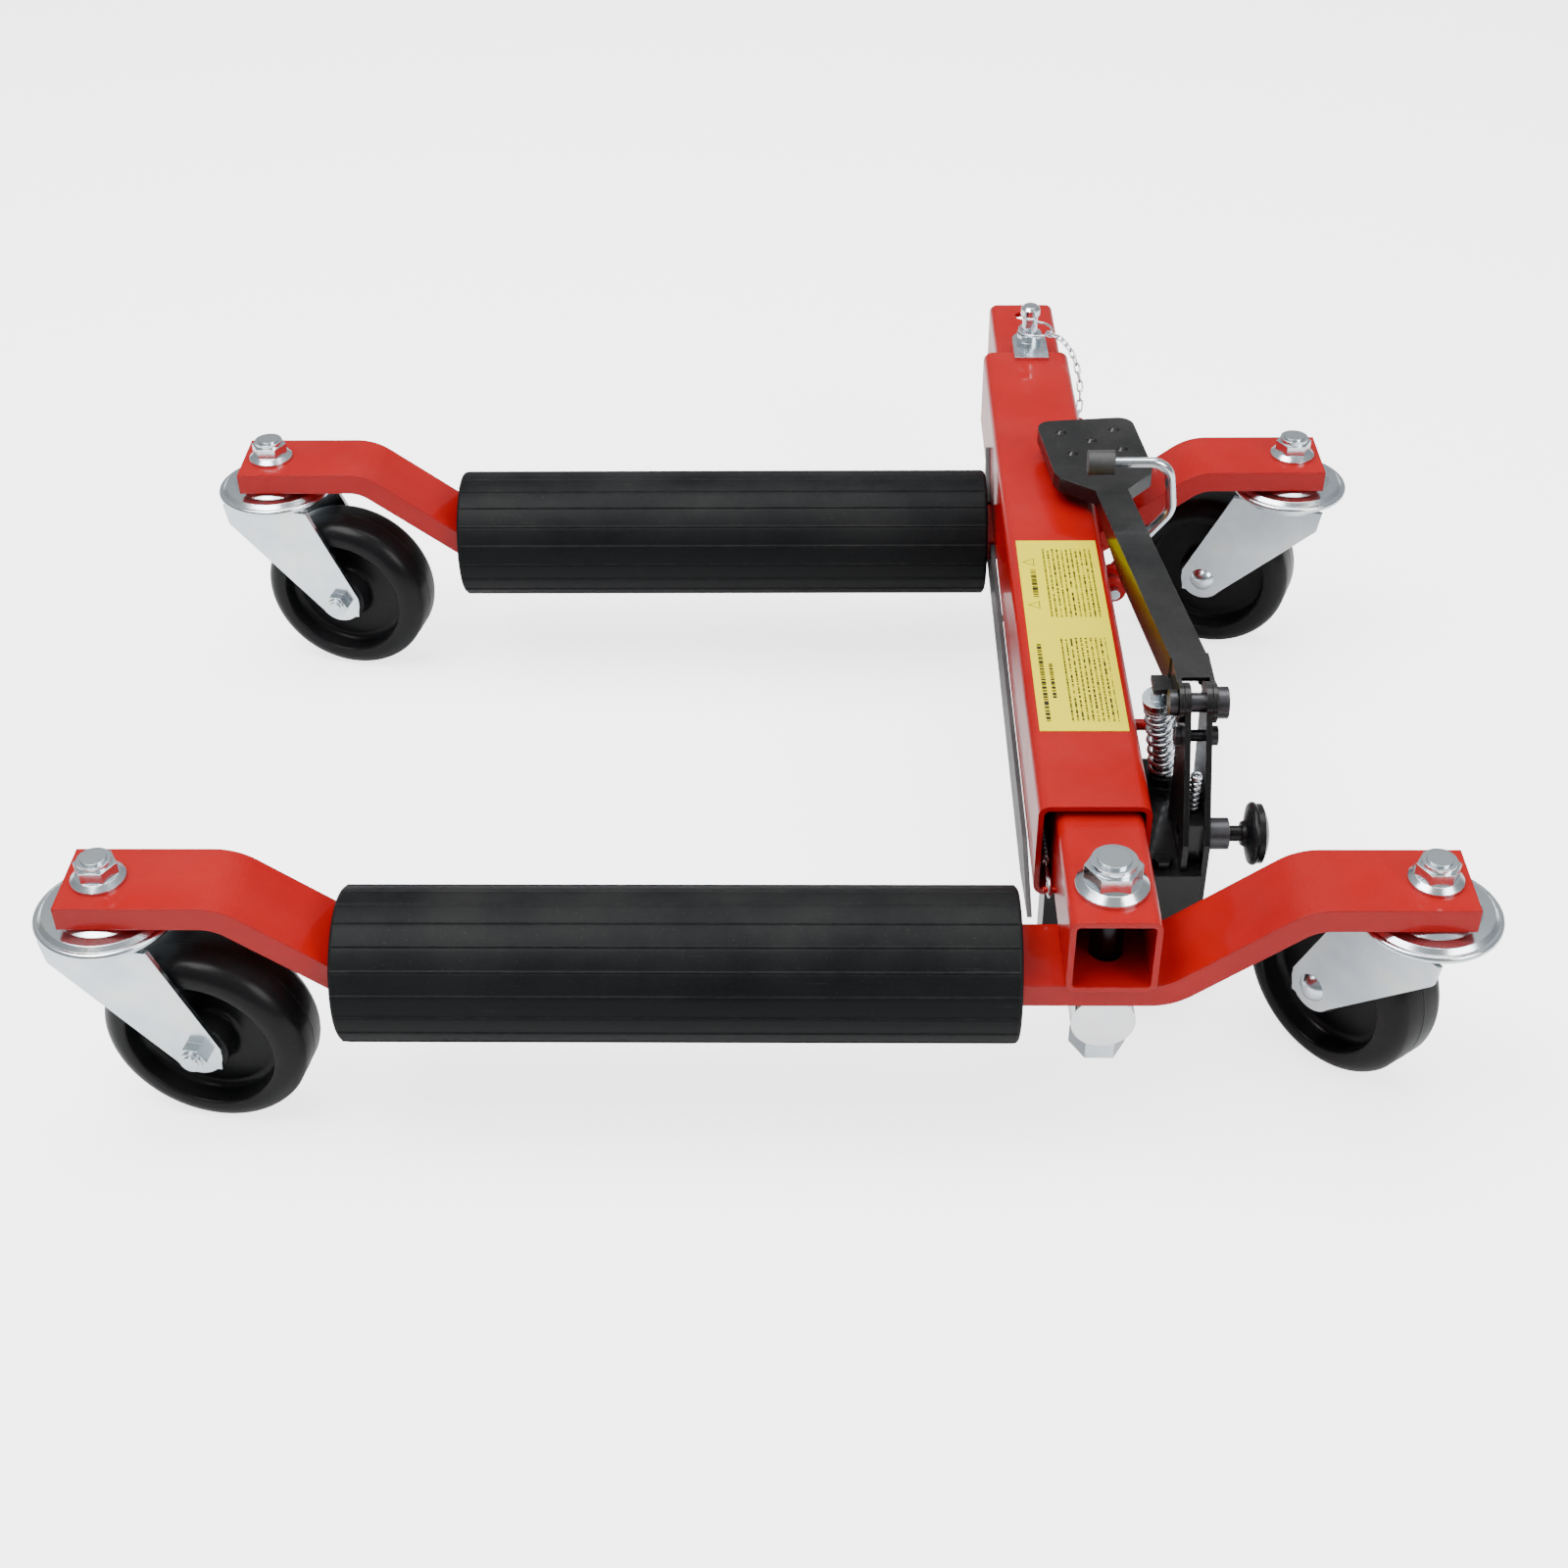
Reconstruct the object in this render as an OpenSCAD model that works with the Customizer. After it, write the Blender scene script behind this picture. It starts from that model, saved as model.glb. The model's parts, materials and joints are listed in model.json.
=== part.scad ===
// Wheel dolly: two roller arms on four swivel casters, drawn together under
// a tyre by a foot-pumped pull ram. Millimetres, Z up, floor at Z = 0.
// X runs along the arms, Y runs along the telescopic beam.

/* [Arms and rollers] */
// Distance between the two caster pins of one arm
pin_span = 620; // [560:5:700]
// Distance between the two arms as drawn
arm_spacing = 399; // [380:1:440]
// Height of the underside of the raised arm ends above the floor
caster_h = 124; // [118:1:140]
// Width of the flat bar
bar_w = 44; // [36:1:46]
// Thickness of the flat bar
bar_t = 12.5; // [8:0.5:14]
// How far the middle of the bar lies below its ends
bar_drop = 46.5; // [36:0.5:50]
// Bar left over beyond each caster pin
bar_end = 16.5; // [14:0.5:30]
// Level length of bar inboard of each caster pin
bar_level = 58; // [50:1:70]
// Run of each sloping part of the bar
slope_run = 62; // [50:1:70]
// Mean bend radius of the bar
bend_r = 26; // [20:1:32]
// Length of each roller
roller_len = 322.5; // [260:0.5:330]
// Diameter of each roller over its flutes
roller_d = 76; // [68:1:84]
// Wall of the roller tube
roller_wall = 6; // [4:0.5:8]
// Number of flutes round a roller
flutes = 20; // [12:1:36]
// Gap from the near roller to the beam
roller_gap = 20; // [16:0.5:30]

/* [Beam] */
// Width of the square inner tube
inner_w = 42.5; // [38:0.5:44]
// Wall of the inner tube
inner_wall = 3; // [2:0.1:4]
// Length of the inner tube
inner_len = 642; // [600:1:720]
// Inner tube in front of the near arm's centre line
inner_front = 26; // [24:1:40]
// Centre of the inner tube to the right of the middle
beam_x = 161.7; // [150:0.1:175]
// Width of the square outer tube
outer_w = 55; // [54:0.5:60]
// Wall of the outer tube
outer_wall = 2.8; // [2:0.1:3.2]
// Length of the outer tube
outer_len = 480.5; // [450:0.5:500]
// Near end of the outer tube behind the near arm's centre line
outer_start = 51.5; // [48:0.5:60]
// How far the inner tube sits right of the outer tube's centre
side_play = 2.8; // [0:0.1:3]
// Pitch of the locking holes in the inner tube
hole_pitch = 52; // [40:1:60]
// Diameter of the locking holes
hole_d = 10.6; // [10:0.1:12]

/* [Casters] */
// Wheel diameter
wheel_d = 102; // [96:1:106]
// Wheel width
wheel_w = 36; // [30:1:40]
// Trail of the wheel behind its pin
trail = 41; // [34:1:44]
// Outer diameter of the swivel race
race_d = 69; // [60:1:74]
// Thickness of the fork plate
fork_t = 2.7; // [2:0.1:4]
// Turn of the near left caster
turn_nl = -9; // [-180:1:180]
// Turn of the near right caster
turn_nr = 127; // [-180:1:180]
// Turn of the far left caster
turn_fl = -12; // [-180:1:180]
// Turn of the far right caster
turn_fr = 158; // [-180:1:180]

/* [Pull ram] */
// Outer diameter of the ram barrel
barrel_d = 46; // [42:1:48]
// Bore of the ram barrel
barrel_bore = 38; // [36:1:40]
// Diameter of the ram rod
rod_d = 25; // [20:1:28]
// Diameter of the rod's end boss
rod_boss_d = 31; // [28:1:34]
// Diameter of the long arm bolt
arm_bolt_d = 16; // [12:1:18]

/* [Foot pump] */
// Height of the pedal hinge above the floor
hinge_z = 160; // [156:1:166]
// Pedal hinge behind the near arm's centre line
hinge_y = 108; // [104:1:112]
// Middle of the pump bracket to the right of the middle
pump_x = 212; // [211:0.5:216]
// Clear space between the two bracket plates
plate_gap = 7.5; // [7:0.5:9]
// Thickness of the bracket plates
plate_t = 3; // [2:0.5:4]
// Thickness of the pedal sheet
pedal_t = 2.4; // [2:0.1:3]
// Length of the pedal arm from hinge to pad
pedal_arm = 232; // [220:1:245]
// Length of the pedal pad
pad_len = 68; // [60:1:80]
// Width of the pedal pad
pad_w = 58; // [50:1:64]
// Diameter of the pedal hinge bolt
hinge_d = 9.8; // [8:0.1:12]
// Diameter of the pump plunger
plunger_d = 11; // [9:0.5:12]
// Diameter of the release knob
knob_d = 32; // [26:1:34]

/* [Latch hook and lock pin] */
// Wire diameter of the latch hook
hook_d = 6; // [5:0.5:7]
// Place of the latch hook behind the near arm's centre line
hook_y = 316; // [312:1:322]
// Height of the latch hook's pivot
hook_z = 106; // [102:1:112]
// Diameter of the lock pin
lock_pin_d = 10; // [9:0.1:10.2]

/* [Clearances] */
// Gap between a sliding part and its guide
slide_gap = 0.5; // [0.3:0.1:0.6]
// Radial clearance of a turning fit
run_gap = 0.08; // [0.05:0.01:0.1]
// Gap between faces that turn past each other
face_gap = 0.3; // [0.2:0.05:0.5]
// Radial gap of a part seated in a hole
seat_gap = 0.02; // [0.01:0.01:0.05]

/* [Hidden] */
$fn = 48;

RED = "crimson";
ZINC = "silver";
BLACK = "dimgray";
RUBBER = "black";

// heights
bar_mid_z = caster_h + bar_t / 2 - bar_drop;
bar_top_z = bar_mid_z + bar_t / 2;
far_sink = slide_gap;
weld_gap = 1;
inner_mid_z = bar_top_z + inner_w / 2;
inner_top_z = bar_top_z + inner_w;
outer_bottom_z = inner_mid_z - outer_w / 2;
outer_top_z = inner_mid_z + outer_w / 2;

// beam sides and ends
outer_x = beam_x - side_play;
outer_left_x = outer_x - outer_w / 2;
outer_right_x = outer_x + outer_w / 2;
inner_left_x = beam_x - inner_w / 2;
outer_end = outer_start + outer_len;
inner_end = inner_len - inner_front;

// arm outline
pin_x = pin_span / 2;
slope_out_x = pin_x - bar_level;
slope_in_x = slope_out_x - slope_run;
slope_a = atan(bar_drop / slope_run);
bend_len = bend_r * tan(slope_a / 2);

// rollers
near_roller_x = inner_left_x - roller_gap - roller_len;
strip_t = 2.5;
strip_gap = 1.5;
far_roller_x = min(near_roller_x + 6, outer_left_x - strip_t - strip_gap - roller_len);
bush_len = 20;
bush_bore = norm([bar_w, bar_t]) + 1;
roller_bore = roller_d - 2 * roller_wall;
bush_in_x = -slope_in_x + bend_len + 3;

// casters
axle_z = wheel_d / 2;
hub_half = wheel_w / 2 + 1;
fork_in = hub_half + face_gap;
fork_out = fork_in + fork_t;
axle_d = 8;
nut_h = 7;
axle_reach = fork_out + nut_h + 1;
race_h = 9;
race_top = caster_h;
crown_z = race_top - race_h - 5;
ball_d = 6;
ball_r = 24;
ball_z = crown_z + fork_t + ball_d / 2;
kingpin_d = 12;

// overall box, so that the origin stands under its middle
near_reach = max(roller_d, race_d) / 2;
mid_y = (inner_end - near_reach) / 2;

// ram
ram_z = outer_bottom_z - 1.75 - barrel_d / 2;
gland_y = outer_start + 11;
gland_len = 22;
ram_back_y = arm_spacing - bar_w / 2 - 1.5;
ram_cap_len = 6;
piston_len = 20;
piston_y = ram_back_y - ram_cap_len - piston_len - 19;

// return spring
spring_z = inner_mid_z - 11;
eye_y = outer_start - 14;
eye_r = 5;
peg_r = 1.5;

// pump
block_left = pump_x - 23;
block_right = pump_x + plate_gap / 2;
block_top = bar_top_z - 2;
block_low = ram_z - 12;
block_y = outer_start + 8.5;
block_len = 98;
valve_y = hinge_y - 26;
valve_z = block_top + 10;
plate_out = plate_gap / 2 + plate_t;
arm_w = 2 * (plate_out + face_gap + pedal_t);
plunger_foot = [pump_x - 5, hinge_y + 32, block_top];
plunger_tilt = [7.24, -9.17, 0];
plunger_lean = acos(cos(plunger_tilt[0]) * cos(plunger_tilt[1]));
gland_h = 8;
cap_low = 55.5;
cap_h = 4;
stud_top = 64.4;
stud_r = 4;
push_z = block_top + stud_top * cos(plunger_lean) + stud_r * sin(plunger_lean) + face_gap;
pedal_turn = 5.9;
pedal_top = hinge_z + 8;
pad_top_z = hinge_z - 3;
neck_deep = 9;
arm_deep = 18;

// latch hook
hook_x = outer_right_x + 8;
hook_over_z = hinge_z + 18;
hook_pin_d = hook_d + 0.4;

// lock pin
pin_y = outer_end + 15;
chain_lug_y = pin_y - 52;
pin_lift = 1.2;
guide_z = inner_top_z + 1;
ring_z = outer_top_z + 9.2;
ring_r = 10.5;
chain_links = 13;
link_w = 4.4;
link_wire = 1.1;

// Everything is drawn from the near arm's centre line and moved at the end.
module place() {
    translate([0, -mid_y, 0]) children();
}

// Points of an arc, from angle a to angle b
function arc(c, r, a, b, n = 8) =
    [for (i = [0:n]) let (t = a + (b - a) * i / n) [c[0] + r * cos(t), c[1] + r * sin(t)]];

function reversed(p) = [for (i = [len(p) - 1:-1:0]) p[i]];
function mirrored(p) = [for (q = reversed(p)) [-q[0], q[1]]];

// Square with round corners, made from exact arcs
module soft_square(w, h, r) {
    square([w - 2 * r, h], center = true);
    square([w, h - 2 * r], center = true);
    for (sx = [-1, 1])
        for (sy = [-1, 1])
            translate([sx * (w / 2 - r), sy * (h / 2 - r)]) circle(r);
}

// Square tube that lies along +Y
module square_tube(w, wall, length, r) {
    rotate([90, 0, 180])
        linear_extrude(length)
            difference() {
                soft_square(w, w, r);
                soft_square(w - 2 * wall, w - 2 * wall, max(r - wall, 0.5));
            }
}

module tube_x(r, bore, length) {
    rotate([0, 90, 0])
        difference() {
            cylinder(r = r, h = length);
            translate([0, 0, -1]) cylinder(r = bore, h = length + 2);
        }
}

module rod_x(r, length) {
    rotate([0, 90, 0]) cylinder(r = r, h = length);
}

module rod_y(r, length) {
    rotate([-90, 0, 0]) cylinder(r = r, h = length);
}

// Flat bar with a Z bend near each end
module arm_bar(extra_drop) {
    low = bar_mid_z - extra_drop;
    high = caster_h + bar_t / 2;
    drop = high - low;
    a = atan(drop / slope_run);
    t = bar_t / 2;
    b = bend_r * tan(a / 2);
    c_in = [slope_in_x - b, low + bend_r];
    c_out = [slope_out_x + b, high - bend_r];
    x_end = pin_x + bar_end;
    top = concat(
        arc(c_in, bend_r - t, -90, -90 + a),
        arc(c_out, bend_r + t, 90 + a, 90),
        [[x_end, high + t]]);
    bottom = concat(
        arc(c_in, bend_r + t, -90, -90 + a),
        arc(c_out, bend_r - t, 90 + a, 90),
        [[x_end, high - t]]);
    half = concat(top, reversed(bottom));
    difference() {
        translate([0, bar_w / 2, 0])
            rotate([90, 0, 0])
                linear_extrude(bar_w)
                    polygon(concat(half, mirrored(half)));
        for (s = [-1, 1])
            translate([s * pin_x, 0, caster_h - 1])
                cylinder(d = kingpin_d + 2 * run_gap, h = bar_t + 2);
    }
}

module far_arm_bar() {
    color(RED) place() translate([0, arm_spacing, 0]) arm_bar(far_sink);
}

module near_arm_bar() {
    color(RED) place()
        difference() {
            arm_bar(0);
            translate([beam_x, 0, bar_mid_z - bar_t])
                cylinder(d = arm_bolt_d + 2 * run_gap, h = 2 * bar_t);
        }
}

module outer_tube() {
    color(RED) place()
        difference() {
            translate([outer_x, outer_start, inner_mid_z])
                square_tube(outer_w, outer_wall, outer_len, 6);
            // seat for the far bar
            translate([outer_left_x - 1, arm_spacing - bar_w / 2, outer_bottom_z - 1])
                cube([outer_w + 2, bar_w, bar_top_z - far_sink - outer_bottom_z + 1 + weld_gap]);
        }
}

module inner_tube() {
    color(RED) place() {
        translate([inner_left_x - 6, eye_y - 2, spring_z]) rod_x(peg_r, 6 + inner_wall);
        difference() {
            translate([beam_x, -inner_front, inner_mid_z])
                square_tube(inner_w, inner_wall, inner_len, 5);
            for (i = [-1:1])
                translate([beam_x, pin_y + i * hole_pitch, inner_mid_z - inner_w])
                    cylinder(d = hole_d, h = 2 * inner_w);
            translate([beam_x, 0, inner_mid_z - inner_w])
                cylinder(d = arm_bolt_d + 2 * run_gap, h = 2 * inner_w);
        }
    }
}

// Small welded pieces on the outer tube: hook eye, chain lug, pump peg
module tube_lugs() {
    color(RED) place() {
        for (s = [0, 1])
            translate([outer_right_x, hook_y - 4 - s * 14, hook_z])
                rotate([90, 0, 0])
                    linear_extrude(4)
                        difference() {
                            union() {
                                translate([hook_x - outer_right_x, 0]) circle(7);
                                translate([0, -7]) square([hook_x - outer_right_x, 14]);
                            }
                            translate([hook_x - outer_right_x, 0]) circle(d = hook_pin_d + 2 * run_gap);
                        }
        translate([outer_right_x, chain_lug_y, hook_z])
            rotate([90, 0, 0])
                linear_extrude(3)
                    difference() {
                        union() {
                            translate([5, 0]) circle(5);
                            translate([0, -5]) square([5, 10]);
                        }
                        translate([5, 0]) circle(2);
                    }
        translate([outer_right_x, hinge_y + 42, hook_z + 10]) rod_x(3, 12);
    }
}

module warning_label() {
    color("gold") place()
        translate([outer_x - 22.5, outer_start + 61.5, outer_top_z])
            cube([45, 183, 0.3]);
}

// Thin strip that shields the ram from the tyre
module guard_strip() {
    low = ram_z + 6;
    under_bar = caster_h - bar_drop - far_sink - face_gap;
    bar_near = arm_spacing - bar_w / 2 - 1;
    bar_far = arm_spacing + bar_w / 2 + 1;
    color("gainsboro") place()
        translate([outer_left_x - strip_t, 0, 0])
            rotate([90, 0, 90])
                linear_extrude(strip_t)
                    polygon([
                        [outer_start - 5, low + 8], [outer_start + 40, low],
                        [bar_far + 16, low], [bar_far + 25, outer_bottom_z + 32],
                        [bar_far, under_bar + 14], [bar_far, under_bar],
                        [bar_near, under_bar], [bar_near, outer_bottom_z + 4],
                        [outer_start + 40, outer_bottom_z + 4]]);
}

// ---- rollers ----

module roller(x0) {
    r = roller_d / 2;
    edge = 2.5;
    rib = 0.5;
    translate([x0, 0, bar_mid_z])
        rotate([0, 90, 0])
            difference() {
                union() {
                    translate([0, 0, edge])
                        linear_extrude(roller_len - 2 * edge) {
                            circle(r - rib);
                            for (i = [0:flutes - 1])
                                rotate([0, 0, i * 360 / flutes])
                                    translate([r - 2, -0.6]) square([2, 1.2]);
                        }
                    cylinder(r1 = r - edge, r2 = r - 2 * rib, h = edge);
                    translate([0, 0, roller_len - edge])
                        cylinder(r1 = r - 2 * rib, r2 = r - edge, h = edge);
                }
                translate([0, 0, -1]) cylinder(d = roller_bore, h = roller_len + 2);
            }
}

module roller_bushes(x0) {
    for (x = [bush_in_x, x0 + roller_len - bush_len - 2])
        translate([x, 0, bar_mid_z])
            tube_x(roller_bore / 2, bush_bore / 2, bush_len);
}

module near_roller() {
    color(RUBBER) place() roller(near_roller_x);
}

module far_roller() {
    color(RUBBER) place()
        translate([0, arm_spacing, -far_sink]) roller(far_roller_x);
}

module near_roller_bushes() {
    color("ivory") place() roller_bushes(near_roller_x);
}

module far_roller_bushes() {
    color("ivory") place()
        translate([0, arm_spacing, -far_sink]) roller_bushes(far_roller_x);
}

// ---- fasteners ----

// Hexagon with across-flats af
module hexagon(af, h) {
    cylinder(d = af / cos(30), h = h, $fn = 6);
}

// Flanged lock nut with a round insert collar, standing on Z = 0
module flange_nut(d) {
    flange_r = d * 1.08;
    difference() {
        union() {
            cylinder(r = flange_r, h = d * 0.13);
            translate([0, 0, d * 0.13]) cylinder(r1 = flange_r, r2 = d * 0.86, h = d * 0.2);
            hexagon(d * 1.5, d * 0.82);
            translate([0, 0, d * 0.82]) cylinder(r = d * 0.68, h = d * 0.2);
        }
        translate([0, 0, -1]) cylinder(d = d + 2 * seat_gap, h = 2 * d);
    }
}

module arm_bolt() {
    head_h = 10;
    foot = ram_z - rod_boss_d / 2;
    color(ZINC) place()
        translate([beam_x, 0, foot - head_h]) {
            hexagon(arm_bolt_d * 1.5, head_h);
            cylinder(d = arm_bolt_d, h = head_h + inner_top_z - foot + arm_bolt_d * 1.1);
        }
}

module arm_nut() {
    color(ZINC) place() translate([beam_x, 0, inner_top_z]) flange_nut(arm_bolt_d);
}

module kingpins() {
    for (s = [-1, 1])
        translate([s * pin_x, 0, crown_z - 5]) {
            cylinder(r = 9, h = 5 - face_gap);
            cylinder(d = kingpin_d, h = race_top + bar_t + kingpin_d * 1.1 - crown_z + 5);
        }
}

module kingpin_nuts() {
    for (s = [-1, 1])
        translate([s * pin_x, 0, caster_h + bar_t]) flange_nut(kingpin_d);
}

module near_kingpins() {
    color(ZINC) place() kingpins();
}

module far_kingpins() {
    color(ZINC) place() translate([0, arm_spacing, 0]) kingpins();
}

module near_kingpin_nuts() {
    color(ZINC) place() kingpin_nuts();
}

module far_kingpin_nuts() {
    color(ZINC) place() translate([0, arm_spacing, 0]) kingpin_nuts();
}

// ---- casters ----

// Upper race: a pressed dish with a rolled lip, fixed under the bar
module swivel_races() {
    r = race_d / 2;
    for (s = [-1, 1])
        translate([s * pin_x, 0, race_top - race_h])
            rotate_extrude()
                difference() {
                    union() {
                        polygon([
                            [kingpin_d / 2 + 0.5, race_h], [r * 0.56, race_h],
                            [r * 0.7, race_h - 3], [r * 0.86, race_h - 3.4],
                            [r - 1.4, 2.4], [r - 1.4, 0],
                            [r - 4, 0], [r * 0.82, 4],
                            [r * 0.62, race_h - 6], [kingpin_d / 2 + 0.5, race_h - 4]]);
                        translate([r - 1.9, 1.6]) circle(1.9);
                    }
                    translate([ball_r, ball_z - race_top + race_h]) circle(d = ball_d + 2 * run_gap);
                }
}

module near_swivel_races() {
    color(ZINC) place() swivel_races();
}

module far_swivel_races() {
    color(ZINC) place() translate([0, arm_spacing, 0]) swivel_races();
}

// Moves a caster piece to its pin and turns it
module at_caster(side, y, turn) {
    place() translate([side * pin_x, y, 0]) rotate([0, 0, turn]) children();
}

// Pressed fork: crown disc with a bore for the pin, and two legs
module fork_leg() {
    boss = 13;
    back = -race_d * 0.38;
    rotate([90, 0, 0])
        linear_extrude(fork_t)
            difference() {
                union() {
                    polygon([
                        [back, crown_z + fork_t], [back + 2, crown_z - 10],
                        [trail - 8, axle_z - 10], [trail + boss * 0.9, axle_z - 9],
                        [trail + boss, axle_z + 4], [race_d * 0.4, crown_z + fork_t]]);
                    translate([trail, axle_z]) circle(boss);
                }
                translate([trail, axle_z]) circle(d = axle_d + 2 * run_gap);
            }
}

module caster_fork() {
    crown_r = race_d / 2 - 7;
    color(ZINC) {
        difference() {
            translate([0, 0, crown_z]) cylinder(r = crown_r, h = fork_t);
            translate([0, 0, crown_z - 1]) cylinder(d = kingpin_d + 2 * face_gap, h = fork_t + 2);
        }
        for (y = [-fork_in, fork_out]) translate([0, y, 0]) fork_leg();
    }
}

module caster_balls() {
    color("white")
        for (i = [0:11])
            rotate([0, 0, i * 30])
                translate([ball_r, 0, ball_z]) sphere(d = ball_d);
}

// Axle bolt with a domed head on one side and a lock nut on the other
module caster_axle() {
    color(ZINC)
        translate([trail, 0, axle_z])
            rotate([90, 0, 0]) {
                translate([0, 0, -fork_out])
                    cylinder(d = axle_d, h = fork_out + axle_reach);
                translate([0, 0, -fork_out])
                    intersection() {
                        translate([0, 0, 4.2]) sphere(r = 8.6);
                        translate([0, 0, -6]) cylinder(r = 9, h = 6);
                    }
                translate([0, 0, fork_out])
                    difference() {
                        union() {
                            hexagon(13, nut_h - 1.5);
                            cylinder(r = 5.6, h = nut_h);
                        }
                        translate([0, 0, -1]) cylinder(d = axle_d, h = nut_h + 2);
                    }
            }
}

module caster_bush() {
    color("tan")
        translate([trail, fork_in, axle_z])
            rotate([90, 0, 0])
                difference() {
                    cylinder(d = axle_d + 4, h = 2 * fork_in);
                    translate([0, 0, -1]) cylinder(d = axle_d + 2 * seat_gap, h = 2 * fork_in + 2);
                }
}

// Wheel with a crowned tread, a rim bead, a recessed web and a hub boss
module caster_wheel() {
    r = wheel_d / 2;
    h = wheel_w / 2;
    rim = r * 0.76;
    hub = r * 0.3;
    bore = axle_d / 2 + 2 + run_gap;
    color(RUBBER)
        translate([trail, 0, axle_z])
            rotate([90, 0, 0])
                rotate_extrude($fn = 96)
                    polygon(concat(
                        [[bore, -hub_half], [hub, -hub_half], [hub + 1.5, -6]],
                        [[rim - 3, -6], [rim, -h + 1.5], [rim + 2, -h]],
                        arc([r - 11, -h + 11], 11, -90, -35, 6),
                        [[r - 0.6, -4], [r, -0.8], [r - 0.7, 0]],
                        [[r, 0.8], [r - 0.6, 4]],
                        arc([r - 11, h - 11], 11, 35, 90, 6),
                        [[rim + 2, h], [rim, h - 1.5], [rim - 3, 6]],
                        [[hub + 1.5, 6], [hub, hub_half], [bore, hub_half]]));
}

module near_left_fork() at_caster(-1, 0, turn_nl) caster_fork();
module near_left_balls() at_caster(-1, 0, turn_nl) caster_balls();
module near_left_axle() at_caster(-1, 0, turn_nl) caster_axle();
module near_left_bush() at_caster(-1, 0, turn_nl) caster_bush();
module near_left_wheel() at_caster(-1, 0, turn_nl) caster_wheel();
module near_right_fork() at_caster(1, 0, turn_nr) caster_fork();
module near_right_balls() at_caster(1, 0, turn_nr) caster_balls();
module near_right_axle() at_caster(1, 0, turn_nr) caster_axle();
module near_right_bush() at_caster(1, 0, turn_nr) caster_bush();
module near_right_wheel() at_caster(1, 0, turn_nr) caster_wheel();
module far_left_fork() at_caster(-1, arm_spacing, turn_fl) caster_fork();
module far_left_balls() at_caster(-1, arm_spacing, turn_fl) caster_balls();
module far_left_axle() at_caster(-1, arm_spacing, turn_fl) caster_axle();
module far_left_bush() at_caster(-1, arm_spacing, turn_fl) caster_bush();
module far_left_wheel() at_caster(-1, arm_spacing, turn_fl) caster_wheel();
module far_right_fork() at_caster(1, arm_spacing, turn_fr) caster_fork();
module far_right_balls() at_caster(1, arm_spacing, turn_fr) caster_balls();
module far_right_axle() at_caster(1, arm_spacing, turn_fr) caster_axle();
module far_right_bush() at_caster(1, arm_spacing, turn_fr) caster_bush();
module far_right_wheel() at_caster(1, arm_spacing, turn_fr) caster_wheel();

// ---- pull ram ----

module ram_rod() {
    color(ZINC) place()
        difference() {
            union() {
                translate([beam_x, -14, ram_z]) rod_y(rod_boss_d / 2, 32);
                translate([beam_x, 17, ram_z]) rod_y(rod_d / 2, piston_y - 17 + 1);
                translate([beam_x, piston_y, ram_z]) rod_y(barrel_bore / 2 - run_gap, piston_len);
            }
            translate([beam_x, 0, ram_z - rod_boss_d])
                cylinder(d = arm_bolt_d + 2 * run_gap, h = 2 * rod_boss_d);
        }
}

module ram_barrel() {
    y0 = gland_y + gland_len;
    color(BLACK) place()
        translate([beam_x, y0, ram_z])
            difference() {
                rod_y(barrel_d / 2, ram_back_y - ram_cap_len - y0);
                translate([0, -1, 0]) rod_y(barrel_bore / 2, ram_back_y - y0);
            }
}

module ram_end_blocks() {
    h = outer_bottom_z - ram_z + barrel_d / 2;
    color(BLACK) place() {
        difference() {
            translate([beam_x - barrel_d / 2, gland_y, ram_z - barrel_d / 2])
                cube([barrel_d, gland_len, h]);
            translate([beam_x, gland_y - 1, ram_z]) rod_y(rod_d / 2 + run_gap, gland_len + 2);
        }
        translate([beam_x - barrel_d / 2, ram_back_y - ram_cap_len, ram_z - barrel_d / 2])
            cube([barrel_d, ram_cap_len, h]);
    }
}

// Long return spring in the left gap of the beam, drawn as its outer shape,
// with an upright eye round the peg on the inner tube
module return_spring() {
    x = (outer_left_x + outer_wall + inner_left_x) / 2;
    color(ZINC) place()
        translate([x, 0, spring_z]) {
            translate([0, outer_start + 4, 0]) rod_y(2.3, 300);
            translate([0, eye_y, 0])
                rotate([0, 90, 0]) rotate_extrude() translate([eye_r, 0]) circle(1.2);
            translate([0, eye_y + eye_r, 0]) rod_y(1, 20);
        }
}

// ---- pump ----

// Places children on the plunger's leaning axis
module on_plunger() {
    translate(plunger_foot) rotate(plunger_tilt) children();
}

module pump_block() {
    port_x = beam_x + barrel_d / 2;
    color(BLACK) place()
        difference() {
            union() {
                translate([block_left, block_y, block_low])
                    cube([block_right - block_left, block_len, block_top - block_low]);
                translate([port_x, gland_y, block_low])
                    cube([block_left - port_x + 1, gland_len, outer_bottom_z - block_low - 3]);
                translate([block_right - plate_gap, valve_y - 12, block_top - 1])
                    cube([plate_gap, 24, 25]);
                on_plunger() translate([0, 0, -4]) cylinder(r = 9, h = gland_h + 4);
                translate([block_left + 8, block_y + 9, block_top - 1]) hexagon(9, 6);
            }
            on_plunger() translate([0, 0, -28]) cylinder(d = plunger_d + 2 * run_gap, h = 50);
            translate([block_right - plate_gap - 1, valve_y, valve_z]) rod_x(5, plate_gap + 2);
        }
}

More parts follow.
